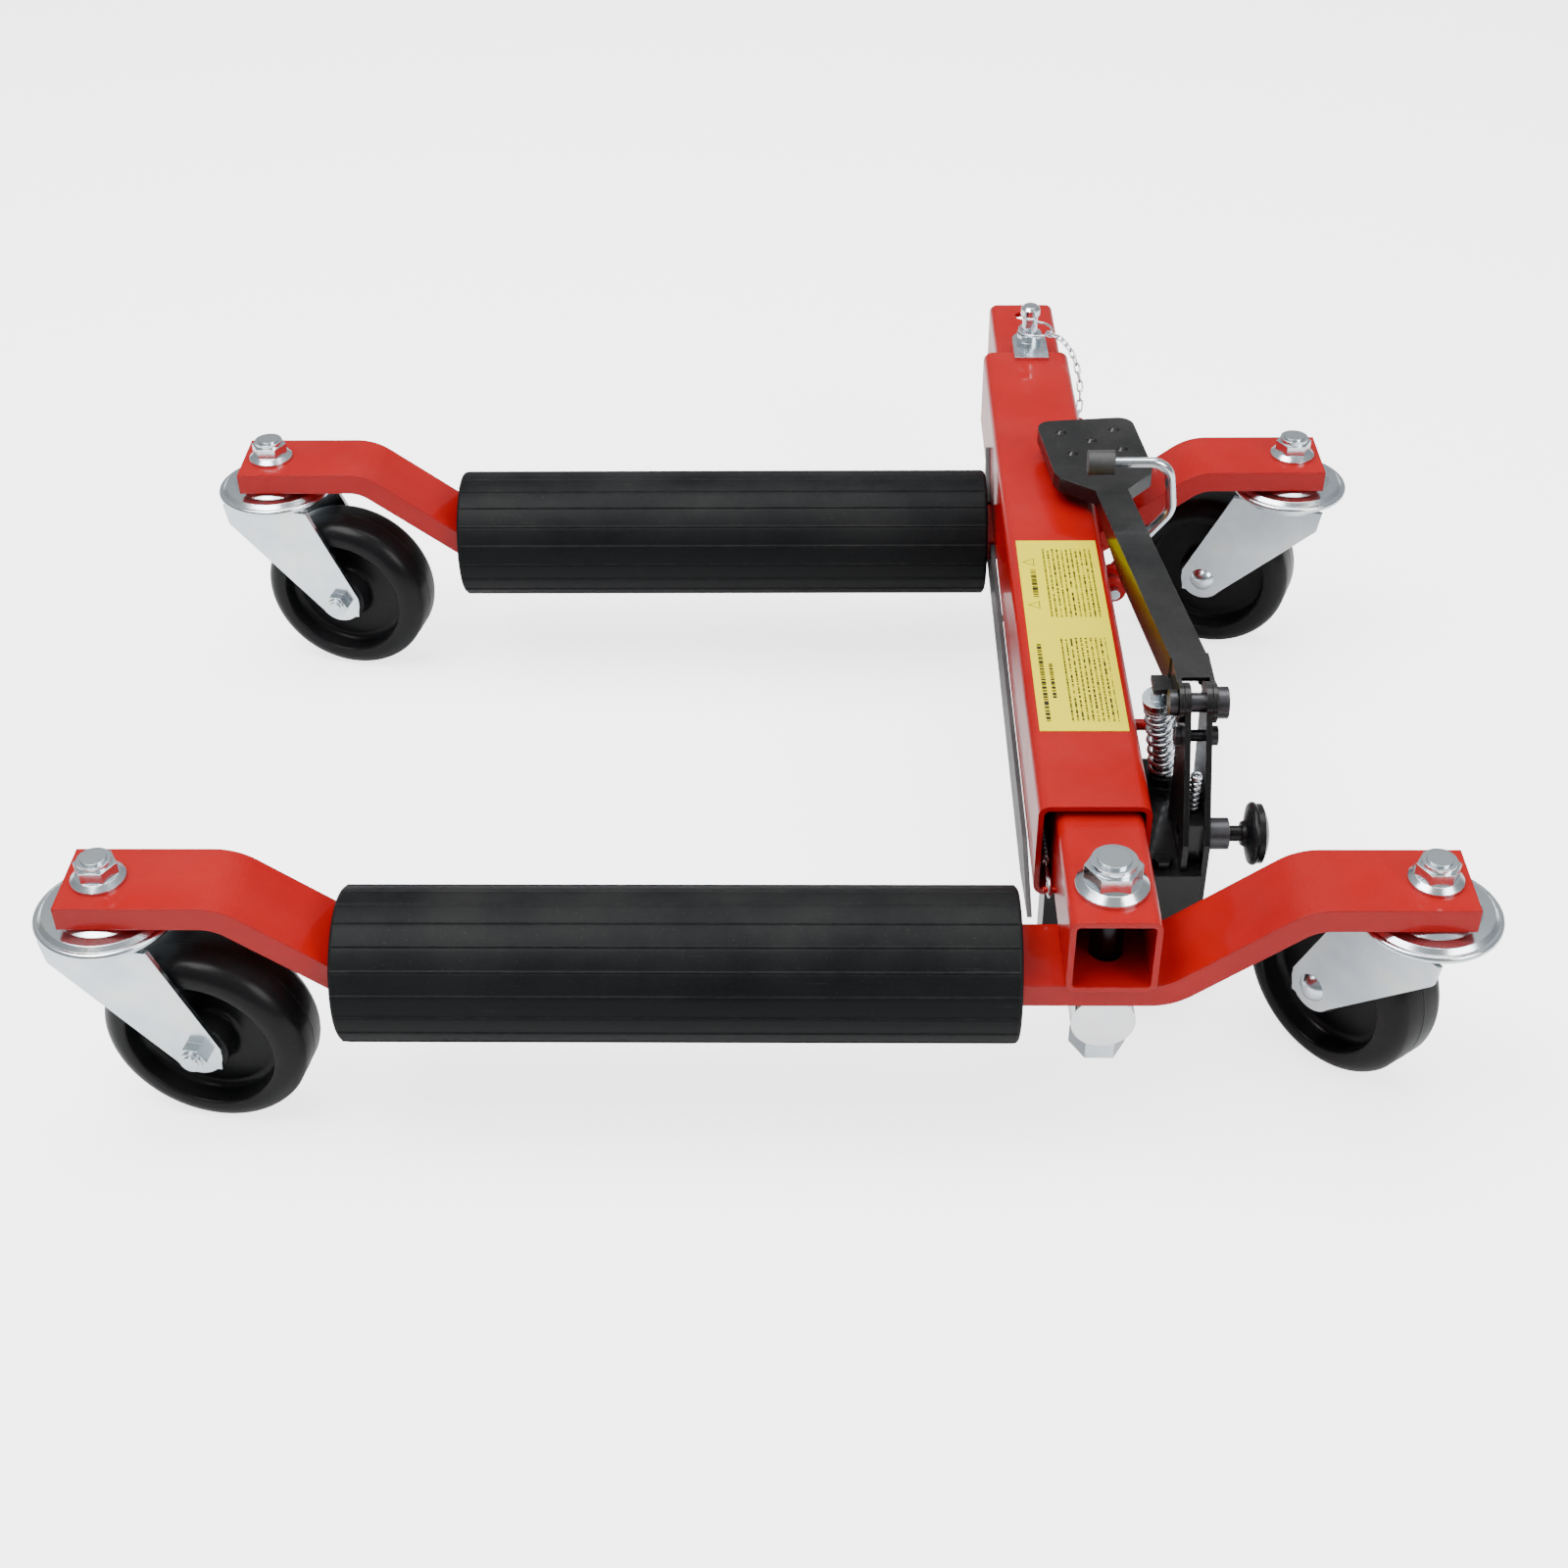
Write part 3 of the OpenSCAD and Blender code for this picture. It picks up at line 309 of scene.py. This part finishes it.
FINISHES = {
    "red_paint": dict(base=(0.34, 0.0002, 0.0006), dark=(0.27, 0.0002, 0.0005), rough=(0.26, 0.38),
                      coat=0.28, specular=0.10, coat_rough=0.04, grain=260.0,
                      bump=0.05, edge=0.0012, wear=0.18,
                      worn=(0.60, 0.03, 0.03), dust=0.03, scratch=0.10, cloud=9.0),
    "black_paint": dict(base=(0.002, 0.002, 0.0024), dark=(0.004, 0.004, 0.0045), rough=(0.24, 0.36),
                        specular=0.14, coat=0.32, coat_rough=0.12, grain=420.0, bump=0.10, edge=0.0010,
                        wear=0.30, worn=(0.16, 0.16, 0.16), dust=0.05, scratch=0.20, cloud=18.0),
    "zinc": dict(base=(0.74, 0.80, 0.84), dark=(0.56, 0.63, 0.69), rough=(0.12, 0.28), metal=1.0,
                 grain=700.0, bump=0.05, edge=0.0006, wear=0.35, worn=(0.90, 0.90, 0.88), dust=0.03,
                 scratch=0.30, cloud=30.0, tint=(0.86, 0.84, 0.70)),
    "chrome": dict(base=(0.86, 0.88, 0.90), dark=(0.78, 0.80, 0.83), rough=(0.05, 0.14), metal=1.0,
                   grain=300.0, bump=0.02, edge=0.0005, wear=0.2, worn=(0.92, 0.92, 0.92), dust=0.02,
                   scratch=0.25, cloud=24.0),
    "spring_steel": dict(base=(0.74, 0.77, 0.80), dark=(0.55, 0.58, 0.62), rough=(0.16, 0.32), metal=1.0,
                         grain=900.0, bump=0.06, edge=0.0003, wear=0.1, worn=(0.9, 0.9, 0.9), dust=0.02,
                         scratch=0.2, cloud=60.0),
    "black_oxide": dict(base=(0.035, 0.035, 0.040), dark=(0.07, 0.07, 0.075), rough=(0.24, 0.42), metal=0.85,
                        grain=800.0, bump=0.08, edge=0.0005, wear=0.5, worn=(0.34, 0.34, 0.35), dust=0.04,
                        scratch=0.3, cloud=50.0),
    "roller_plastic": dict(base=(0.0030, 0.0036, 0.0042), dark=(0.005, 0.0056, 0.0062), rough=(0.42, 0.56),
                           grain=240.0, bump=0.10, stretch=(0.18, 1, 1), edge=0.0008, wear=0.25,
                           worn=(0.07, 0.07, 0.07), dust=0.03, scratch=0.5, cloud=26.0,
                           specular=0.08),
    "wheel_black": dict(base=(0.004, 0.004, 0.0045), dark=(0.007, 0.007, 0.008), rough=(0.26, 0.38),
                        coat=0.06, specular=0.10, coat_rough=0.18,
                        grain=500.0, bump=0.06, edge=0.0008, wear=0.15,
                        worn=(0.05, 0.05, 0.05), dust=0.02, scratch=0.2, cloud=30.0),
    "knob_plastic": dict(base=(0.003, 0.003, 0.0034), dark=(0.006, 0.006, 0.007), rough=(0.18, 0.32),
                         specular=0.16,
                         grain=500.0, bump=0.05, edge=0.0008, wear=0.12, worn=(0.10, 0.10, 0.10),
                         dust=0.05, scratch=0.2, cloud=40.0),
    "cap_plastic": dict(base=(0.016, 0.016, 0.017), dark=(0.028, 0.028, 0.030), rough=(0.42, 0.60),
                        grain=1200.0, bump=0.14, edge=0.0008, wear=0.15, worn=(0.11, 0.11, 0.11),
                        dust=0.10, scratch=0.2, cloud=60.0),
    "strip_black": dict(base=(0.022, 0.022, 0.024), dark=(0.040, 0.040, 0.042), rough=(0.36, 0.55),
                        grain=600.0, bump=0.16, edge=0.0008, wear=0.3, worn=(0.14, 0.14, 0.14), dust=0.10,
                        scratch=0.4, cloud=30.0),
    "ball_plastic": dict(base=(0.78, 0.75, 0.66), dark=(0.66, 0.62, 0.52), rough=(0.30, 0.48), grain=900.0,
                         bump=0.05, edge=0.0003, wear=0.0, worn=(0.9, 0.9, 0.9), dust=0.05, scratch=0.1,
                         cloud=60.0),
    "bush_plastic": dict(base=(0.70, 0.66, 0.54), dark=(0.58, 0.53, 0.42), rough=(0.40, 0.60), grain=700.0,
                         bump=0.08, edge=0.0005, wear=0.1, worn=(0.8, 0.78, 0.7), dust=0.10, scratch=0.2,
                         cloud=40.0),
    "pin_white": dict(base=(0.82, 0.83, 0.84), dark=(0.70, 0.72, 0.74), rough=(0.14, 0.28), metal=1.0,
                      grain=500.0, bump=0.04, edge=0.0005, wear=0.2, worn=(0.9, 0.9, 0.9), dust=0.02,
                      scratch=0.2, cloud=40.0),
    "label": dict(base=(0.74, 0.63, 0.0), dark=(0.70, 0.59, 0.0), rough=(0.40, 0.52), specular=0.04,
                  grain=500.0, bump=0.05, edge=0.0003, wear=0.2, worn=(0.9, 0.85, 0.3),
                  dust=0.03, scratch=0.1, cloud=20.0),
}


# The arm bolt's finish: the zinc finish, with painted shade on the stretch inside the inner tube.
FINISHES["bolt_zinc_painted_shade"] = FINISHES["zinc"]
FINISH_OF = dict(SLOT_OF, arm_bolt="bolt_zinc_painted_shade")
INK = (0.02, 0.018, 0.01)
# SHADE is the colour of the painted shade on the arm bolt inside the inner tube.
SHADE = (0.02, 0.02, 0.022)


def shaded_colour(g, plain):
    """Painted shade: dark colour on the stretch of the arm bolt that stands inside the inner tube, where the
    tube's walls shade it.
    """
    height = g.add("ShaderNodeSeparateXYZ", {0: g.add("ShaderNodeTexCoord").outputs["Object"]}).outputs["Z"]
    lo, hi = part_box("inner_tube")
    inside = g.math("MULTIPLY", g.math("GREATER_THAN", height, lo[2]), g.math("LESS_THAN", height, hi[2]))
    return g.blend(inside, plain, SHADE)


def printed_colour(g, plain):
    """Generic print on the label: rows of broken dashes in two blocks, and two outlined
    triangles. No letters are drawn."""
    lo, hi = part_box("warning_label")
    spot = g.add("ShaderNodeTexCoord").outputs["Object"]
    xyz = g.add("ShaderNodeSeparateXYZ", {0: spot}).outputs
    u = g.math("MULTIPLY", g.math("SUBTRACT", xyz["X"], lo[0]), 1000.0)
    v = g.math("MULTIPLY", g.math("SUBTRACT", xyz["Y"], lo[1]), 1000.0)

    def between(value, a, b):
        return g.math("MULTIPLY", g.math("GREATER_THAN", value, a), g.math("LESS_THAN", value, b))

    def rows(u0, u1, pitch, fill, v0, v1, grain):
        step = g.math("DIVIDE", g.math("SUBTRACT", u, u0), pitch)
        line = g.math("LESS_THAN", g.math("FRACT", step), fill)
        where = g.add("ShaderNodeCombineXYZ", {"X": g.math("MULTIPLY", g.math("FLOOR", step), 7.3),
                                               "Y": g.math("MULTIPLY", v, grain)}).outputs[0]
        dash = g.math("GREATER_THAN", g.noise(where, 1.0, 1.0, 0.5), 0.46)
        area = g.math("MULTIPLY", between(u, u0, u1), between(v, v0, v1))
        return g.math("MULTIPLY", g.math("MULTIPLY", line, dash), area)

    def triangle(cu, cv, size):
        du, dv = g.math("SUBTRACT", u, cu), g.math("SUBTRACT", v, cv)
        lean = g.math("MULTIPLY", g.math("ABSOLUTE", dv), 0.866)
        side = g.math("SUBTRACT", lean, g.math("MULTIPLY", du, 0.5))
        worst = g.math("MAXIMUM", side, du)
        return between(worst, size - 0.45, size)

    ink = rows(4.0, 6.6, 3.0, 0.8, 8.0, 78.0, 0.9)
    for part in (rows(9.0, 11.0, 3.0, 0.7, 28.0, 60.0, 0.9),
                 rows(17.0, 41.0, 2.6, 0.42, 8.0, 84.0, 1.3),
                 rows(14.0, 41.0, 2.6, 0.42, 104.0, 174.0, 1.3),
                 rows(6.0, 9.2, 4.0, 0.75, 124.0, 152.0, 0.8),
                 triangle(6.6, 116.0, 2.2), triangle(6.6, 160.0, 2.2)):
        ink = g.math("MAXIMUM", ink, part)
    return g.blend(ink, plain, INK)


def finish_material(name):
    """A painted, plated or moulded surface: base colour in slow clouds, fine bumps, worn edges,
    hair scratches and a little settled dust."""
    f = FINISHES[name]
    made = bpy.data.materials.new("finish_" + name)
    made.use_nodes = True
    g = Graph(made.node_tree)
    shader = made.node_tree.nodes["Principled BSDF"]
    grain = g.group(shared("grain"), Stretch=f.get("stretch", (1, 1, 1)), Scale=f["grain"], Cloud=f["cloud"])
    edge = g.group(shared("edge"), Radius=f["edge"], Breakup=110.0, Amount=f["wear"])
    dust = g.group(shared("dust"), Amount=f["dust"], Patch=16.0)
    scratch = g.group(shared("scratch"), Amount=f["scratch"], Patch=22.0)
    tone = g.remap(grain.outputs["Tone"], 0.32, 0.68)
    colour = g.blend(tone, f["base"], f["dark"])
    if "tint" in f:
        sheen = g.remap(g.noise(g.place(), 55.0, 3.0, 0.5), 0.52, 0.72, 0.0, 0.35)
        colour = g.blend(sheen, colour, f["tint"])
    if name == "label":
        colour = printed_colour(g, colour)
    # Painted shade on the arm bolt where it stands inside the inner tube.
    if name == "bolt_zinc_painted_shade":
        colour = shaded_colour(g, colour)
    colour = g.blend(edge.outputs["Mask"], colour, f["worn"])
    colour = g.blend(g.math("MULTIPLY", scratch.outputs["Mask"], 0.5), colour, f["worn"])
    colour = g.blend(dust.outputs["Mask"], colour, (0.36, 0.35, 0.33))
    g.put(shader.inputs["Base Color"], colour)
    low, high = f["rough"]
    rough = g.remap(grain.outputs["Tone"], 0.25, 0.75, low, high)
    rough = g.math("ADD", rough, g.math("MULTIPLY", dust.outputs["Mask"], 0.8), clamp=True)
    rough = g.math("ADD", rough, g.math("MULTIPLY", scratch.outputs["Mask"], 0.25), clamp=True)
    g.put(shader.inputs["Roughness"], rough)
    shader.inputs["Metallic"].default_value = f.get("metal", 0.0)
    shader.inputs["Specular IOR Level"].default_value = f.get("specular", 0.5)
    shader.inputs["Coat Weight"].default_value = f.get("coat", 0.0)
    shader.inputs["Coat Roughness"].default_value = f.get("coat_rough", 0.1)
    height = g.math("SUBTRACT", grain.outputs["Height"], g.math("MULTIPLY", scratch.outputs["Mask"], 0.6))
    bump = g.add("ShaderNodeBump", {"Height": height, "Strength": f["bump"], "Distance": 0.0006,
                                    "Normal": edge.outputs["Normal"]})
    g.put(shader.inputs["Normal"], bump.outputs[0])
    return made


MADE = {}


def material(name):
    """The one copy of each finish."""
    if name not in MADE:
        MADE[name] = finish_material(name)
    return MADE[name]


def dress(piece, slot, body, *nodes):
    """Gives a new piece its finish and its body, and hides the nodes that it stands for."""
    piece.data.materials.clear()
    piece.data.materials.append(material(slot))
    if body:
        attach(piece, body)
    if nodes:
        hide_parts(*nodes)
    return piece


# ---------------------------------------------------------------- properties

class DollySizes(bpy.types.PropertyGroup):
    """Sizes a user may change."""
    flutes: bpy.props.IntProperty(name="Roller flutes", description="Ridges round a roller", default=20,
                                  min=8, max=60)
    flute_depth: bpy.props.FloatProperty(name="Flute depth", description="Height of a roller's ridges",
                                         default=0.0005, unit="LENGTH")
    parting_line: bpy.props.FloatProperty(name="Parting line", description="Height of the mould line",
                                          default=0.00025, unit="LENGTH")
    return_turns: bpy.props.IntProperty(name="Return spring turns", description="Turns of its coil",
                                        default=90, min=20, max=160)
    plunger_turns: bpy.props.FloatProperty(name="Plunger spring turns", description="Turns of its coil",
                                           default=8.0)
    valve_turns: bpy.props.FloatProperty(name="Valve spring turns", description="Turns of its coil",
                                         default=8.0)


class DollyStage(bpy.types.PropertyGroup):
    """Colours and lights a user may change."""
    floor: bpy.props.FloatVectorProperty(name="Floor", description="Colour of the floor", subtype="COLOR",
                                         default=(0.93, 0.93, 0.93), min=0, max=1)
    paper: bpy.props.FloatProperty(name="Paper glow", description="Light the floor adds for the camera",
                                   default=2.6)
    sky: bpy.props.FloatProperty(name="Sky", description="Strength of the even light", default=0.42)
    key: bpy.props.FloatProperty(name="Key light", description="Power of the large light", default=72.0,
                                 unit="POWER")


# ---------------------------------------------------------------- operators

class DOLLY_OT_finishes(bpy.types.Operator):
    """Give each CAD node the procedural finish of its material slot"""
    bl_idname = "dolly.finishes"
    bl_label = "Frame finishes"

    def execute(self, context):
        for name, piece in NODES.items():
            piece.data.materials.clear()
            piece.data.materials.append(material(FINISH_OF[name]))
        return {"FINISHED"}


class DOLLY_OT_rollers(bpy.types.Operator):
    """Fluted roller tubes with eased ends"""
    bl_idname = "dolly.rollers"
    bl_label = "Rollers"

    def execute(self, context):
        """Ring profile carried round X; the radius drops by the flute depth between ridges,
        and a ridge is a narrow bell: exp(-(angle off the ridge / width) squared)."""
        sizes = context.scene.dolly_sizes
        pitch = 2 * math.pi / sizes.flutes

        fine = np.concatenate([np.linspace(-0.034, 0.034, 15), np.linspace(0.06, pitch - 0.06, 9)])
        angles = (np.arange(sizes.flutes)[:, None] * pitch + fine[None, :]).ravel()

        def ripple(a):
            off = (a + pitch / 2) % pitch - pitch / 2
            return np.exp(-(off / 0.009) ** 2) - 0.35 * np.exp(-((off - 0.021) / 0.008) ** 2)

        for side in ("near", "far"):
            lo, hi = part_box(side + "_roller")
            r, length = (hi[2] - lo[2]) / 2, hi[0] - lo[0]
            bore, ease = r - 6 * MM, 2.2 * MM
            skin = r - sizes.flute_depth
            corner = arc(ease, 0, ease, 180, 90, 6)
            start = np.column_stack([skin - ease + corner[:, 1], corner[:, 0]])
            lip = arc(1.2 * MM, 0, 1.2 * MM, 90, 180, 4)
            inner = np.column_stack([bore + 1.2 * MM - lip[:, 1], lip[:, 0]])
            half = np.vstack([[[bore, length / 2]], inner, start])
            other = half[1:][::-1].copy()
            other[:, 1] = length - other[:, 1]
            profile = np.vstack([half, [[skin, length / 2]], other])
            ridge = np.where(profile[:, 0] > skin - 0.3 * MM, sizes.flute_depth, 0.0)
            profile = np.column_stack([profile, ridge])
            centre = (lo[0], (lo[1] + hi[1]) / 2, (lo[2] + hi[2]) / 2)
            piece = turned(side + "_roller_tube", centre, (1, 0, 0), profile, angles, ripple, 30)
            dress(piece, "roller_plastic", side + "_roller_turning", side + "_roller")
        return {"FINISHED"}


class DOLLY_OT_wheels(bpy.types.Operator):
    """Moulded caster wheels: crowned tread with a parting line, rim bead, dished web and hub"""
    bl_idname = "dolly.wheels"
    bl_label = "Wheels"

    def execute(self, context):
        """A closed profile carried once round the axle. Half of it runs from the bore over the
        hub, the dished web, the rim bead and the tread; the other half mirrors it."""
        line = context.scene.dolly_sizes.parting_line
        r, h, hub_half, bore = 51 * MM, 18 * MM, 19 * MM, 6.08 * MM
        half = np.vstack([
            [[bore, 0.0], [bore, hub_half - 0.8 * MM]],
            arc(bore + 0.8 * MM, hub_half - 0.8 * MM, 0.8 * MM, 180, 90, 4),
            arc(13.6 * MM, hub_half - 1.2 * MM, 1.2 * MM, 90, 10, 5),
            arc(18.6 * MM, 9.6 * MM, 3.4 * MM, 180, 270, 6),
            arc(32.6 * MM, 10.2 * MM, 4.6 * MM, 270, 350, 7),
            arc(38.4 * MM, h - 1.3 * MM, 1.3 * MM, 170, 90, 5),
            arc(r - 10.8 * MM, h - 11 * MM, 11 * MM, 84, 14, 12),
            [[r - 0.15 * MM, 2.4 * MM], [r - 0.05 * MM, 0.7 * MM]],
            [[r - 0.03 * MM, 0.35 * MM], [r - line, 0.12 * MM]]])
        other = half[1:][::-1].copy()
        other[:, 1] = -other[:, 1]
        profile = np.vstack([half, other])
        for name in CASTERS:
            joint = JOINTS[name + "_wheel_spin"]
            piece = turned(name + "_wheel_moulding", joint["pos_m"], joint["axis"], profile, 160, sharp=38)
            dress(piece, "wheel_black", joint["child"], name + "_wheel")
        return {"FINISHED"}


class DOLLY_OT_springs(bpy.types.Operator):
    """Coil springs: the plunger's, the valve's and the long return spring with its eye"""
    bl_idname = "dolly.springs"
    bl_label = "Springs"

    def execute(self, context):
        """Wires carried along helices. The return spring's wire leaves the helix and closes in
        a round eye in front of it."""
        sizes = context.scene.dolly_sizes
        stroke = JOINTS["plunger_stroke"]
        foot, axis = np.array(stroke["pos_m"]), np.array(stroke["axis"])
        low, high = 8.1 * MM, 55.4 * MM
        wire, radius = 1.1 * MM, 7.2 * MM
        path, spoke = coil_path(foot + axis * (low + wire), axis, radius, high - low - 2 * wire,
                                sizes.plunger_turns)
        piece = dress(tube("plunger_coil", path, spoke, wire), "spring_steel", None, "plunger_spring")
        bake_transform(piece)

        lo, hi = (np.array(v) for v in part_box("valve_spring"))
        wire = 0.8 * MM
        radius = (hi[0] - lo[0]) / 2 - wire
        base = np.array([(lo[0] + hi[0]) / 2, (lo[1] + hi[1]) / 2, lo[2] + wire])
        path, spoke = coil_path(base, (0, 0, 1), radius, hi[2] - lo[2] - 2 * wire, sizes.valve_turns)
        dress(tube("valve_coil", path, spoke, wire), "spring_steel", "frame", "valve_spring")

        lo, hi = (np.array(v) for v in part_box("return_spring"))
        wire, eye = 0.8 * MM, 5.0 * MM
        cx, cz = (lo[0] + hi[0]) / 2, (lo[2] + hi[2]) / 2
        eye_y, far_y = lo[1] + eye + 1.2 * MM, hi[1]
        near_y = eye_y + 18 * MM
        turns = sizes.return_turns
        s = np.linspace(0, turns, turns * 14 + 1)
        a = 2 * math.pi * s
        r = (hi[0] - lo[0]) / 2 - wire
        body = np.column_stack([cx + r * np.cos(a), near_y + (far_y - near_y - wire) * s / turns,
                                cz + r * np.sin(a)])
        out = np.column_stack([np.cos(a), np.zeros_like(a), np.sin(a)])
        t = np.linspace(0, 1, 10)[:, None]
        shank = np.array([cx, eye_y + eye, cz]) * (1 - t) + np.array([cx, near_y - 1.5 * MM, cz]) * t
        b = np.linspace(1.96 * math.pi, 0, 40)
        ring = np.column_stack([np.full_like(b, cx), eye_y + (eye - 0.4 * MM) * np.cos(b),
                                cz + (eye - 0.4 * MM) * np.sin(b)])
        path = np.vstack([ring[:-1], shank, body[4:]])
        across = np.vstack([np.tile([1.0, 0, 0], (len(ring) - 1 + len(shank), 1)), out[4:]])
        piece = tube("return_coil", path, across, wire, 8)
        dress(piece, "spring_steel", None, "return_spring")
        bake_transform(piece)
        return {"FINISHED"}


class DOLLY_OT_thread(bpy.types.Operator):
    """Thread on the release screw between its collar and its knob"""
    bl_idname = "dolly.thread"
    bl_label = "Release thread"

    def execute(self, context):
        """A tube whose radius rises and falls once a pitch along a helix: radius + depth times
        a triangle wave of (distance / pitch - angle / full turn)."""
        joint = JOINTS["release_turn"]
        lo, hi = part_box("release_knob")
        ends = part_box("release_collar")[1][0] - 1.5 * MM, lo[0] + 21 * MM
        x = np.linspace(ends[0], ends[1], 90)
        a = np.linspace(0, 2 * math.pi, 24, endpoint=False)
        phase = (x[:, None] / (1.25 * MM) - a[None, :] / (2 * math.pi)) % 1.0
        r = 4.1 * MM + 0.42 * MM * (1 - np.abs(2 * phase - 1))
        cy, cz = joint["pos_m"][1], joint["pos_m"][2]
        points = np.stack([np.broadcast_to(x[:, None], r.shape), cy + r * np.cos(a), cz + r * np.sin(a)], -1)
        dress(grid_mesh("release_thread", points), "black_oxide", "release_screw")
        return {"FINISHED"}


class DOLLY_OT_stage(bpy.types.Operator):
    """Pale floor, soft lights and the camera"""
    bl_idname = "dolly.stage"
    bl_label = "Stage"

    def execute(self, context):
        look = context.scene.dolly_stage
        bpy.ops.mesh.primitive_plane_add(size=14, location=(0, 0, -0.0002))
        floor = context.object
        floor.name = "floor"
        paper = bpy.data.materials.new("floor_paper")
        paper.use_nodes = True
        g = Graph(paper.node_tree)
        shader = paper.node_tree.nodes["Principled BSDF"]
        g.put(shader.inputs["Base Color"], tuple(look.floor))
        shader.inputs["Roughness"].default_value = 0.65
        shader.inputs["Specular IOR Level"].default_value = 0.1
        shader.inputs["Emission Color"].default_value = (1.0, 1.0, 1.0, 1.0)
        seen = g.add("ShaderNodeLightPath").outputs["Is Camera Ray"]
        g.put(shader.inputs["Emission Strength"], g.math("MULTIPLY", seen, look.paper))
        floor.data.materials.append(paper)
        world = bpy.data.worlds.new("studio")
        world.use_nodes = True
        g = Graph(world.node_tree)
        back = world.node_tree.nodes["Background"]
        back.inputs["Color"].default_value = (0.96, 0.98, 1.0, 1.0)
        way = g.add("ShaderNodeSeparateXYZ", {0: g.add("ShaderNodeTexCoord").outputs["Generated"]}).outputs
        side = g.math("MULTIPLY", way["Y"], 0.35)
        level = g.remap(g.math("ADD", way["Z"], side), -0.2, 1.1, look.sky * 0.45, look.sky * 1.5)
        g.put(back.inputs["Strength"], level)
        context.scene.world = world
        for name, spot, size, share in LIGHTS:
            light = bpy.data.lights.new(name, "AREA")
            light.shape, light.size, light.size_y = "RECTANGLE", size[0], size[1]
            light.energy = look.key * share
            lamp = bpy.data.objects.new(name, light)
            lamp.location = spot
            lamp.rotation_mode = "QUATERNION"
            lamp.rotation_quaternion = (-Vector(spot)).to_track_quat("-Z", "Y")
            context.scene.collection.objects.link(lamp)
        data = bpy.data.cameras.new("camera")
        data.lens, data.sensor_width = LENS, 36.0
        data.clip_start, data.clip_end = 0.05, 60.0
        camera = bpy.data.objects.new("camera", data)
        pitch, yaw, roll = TURN
        ahead = Vector((-math.sin(yaw) * math.cos(pitch), math.cos(yaw) * math.cos(pitch), -math.sin(pitch)))
        right = Vector((math.cos(yaw), math.sin(yaw), 0))
        up = right.cross(ahead)
        c, t = math.cos(roll), math.sin(roll)
        right, up = right * c + up * t, up * c - right * t
        turn = Matrix((right, up, -ahead)).transposed()
        camera.matrix_world = Matrix.Translation(EYE) @ turn.to_4x4()
        context.scene.collection.objects.link(camera)
        context.scene.camera = camera
        return {"FINISHED"}


class DOLLY_PT_panel(bpy.types.Panel):
    """Sidebar list of the dolly's builders"""
    bl_label = "Dolly"
    bl_idname = "DOLLY_PT_panel"
    bl_space_type = "VIEW_3D"
    bl_region_type = "UI"
    bl_category = "Dolly"

    def draw(self, context):
        for group in (context.scene.dolly_sizes, context.scene.dolly_stage):
            for key in group.__annotations__:
                self.layout.prop(group, key)
        for operator in OPERATORS:
            self.layout.operator(operator.bl_idname)


OPERATORS = (DOLLY_OT_finishes, DOLLY_OT_rollers, DOLLY_OT_wheels, DOLLY_OT_springs, DOLLY_OT_thread,
             DOLLY_OT_stage)
CLASSES = (DollySizes, DollyStage, *OPERATORS, DOLLY_PT_panel)


def register():
    for kind in CLASSES:
        bpy.utils.register_class(kind)
    bpy.types.Scene.dolly_sizes = bpy.props.PointerProperty(type=DollySizes)
    bpy.types.Scene.dolly_stage = bpy.props.PointerProperty(type=DollyStage)


def unregister():
    del bpy.types.Scene.dolly_stage
    del bpy.types.Scene.dolly_sizes
    for kind in reversed(CLASSES):
        bpy.utils.unregister_class(kind)


def main():
    register()
    bpy.ops.dolly.finishes()
    bpy.ops.dolly.rollers()
    bpy.ops.dolly.wheels()
    bpy.ops.dolly.springs()
    bpy.ops.dolly.thread()
    bpy.ops.dolly.stage()


if __name__ == "__main__":
    main()
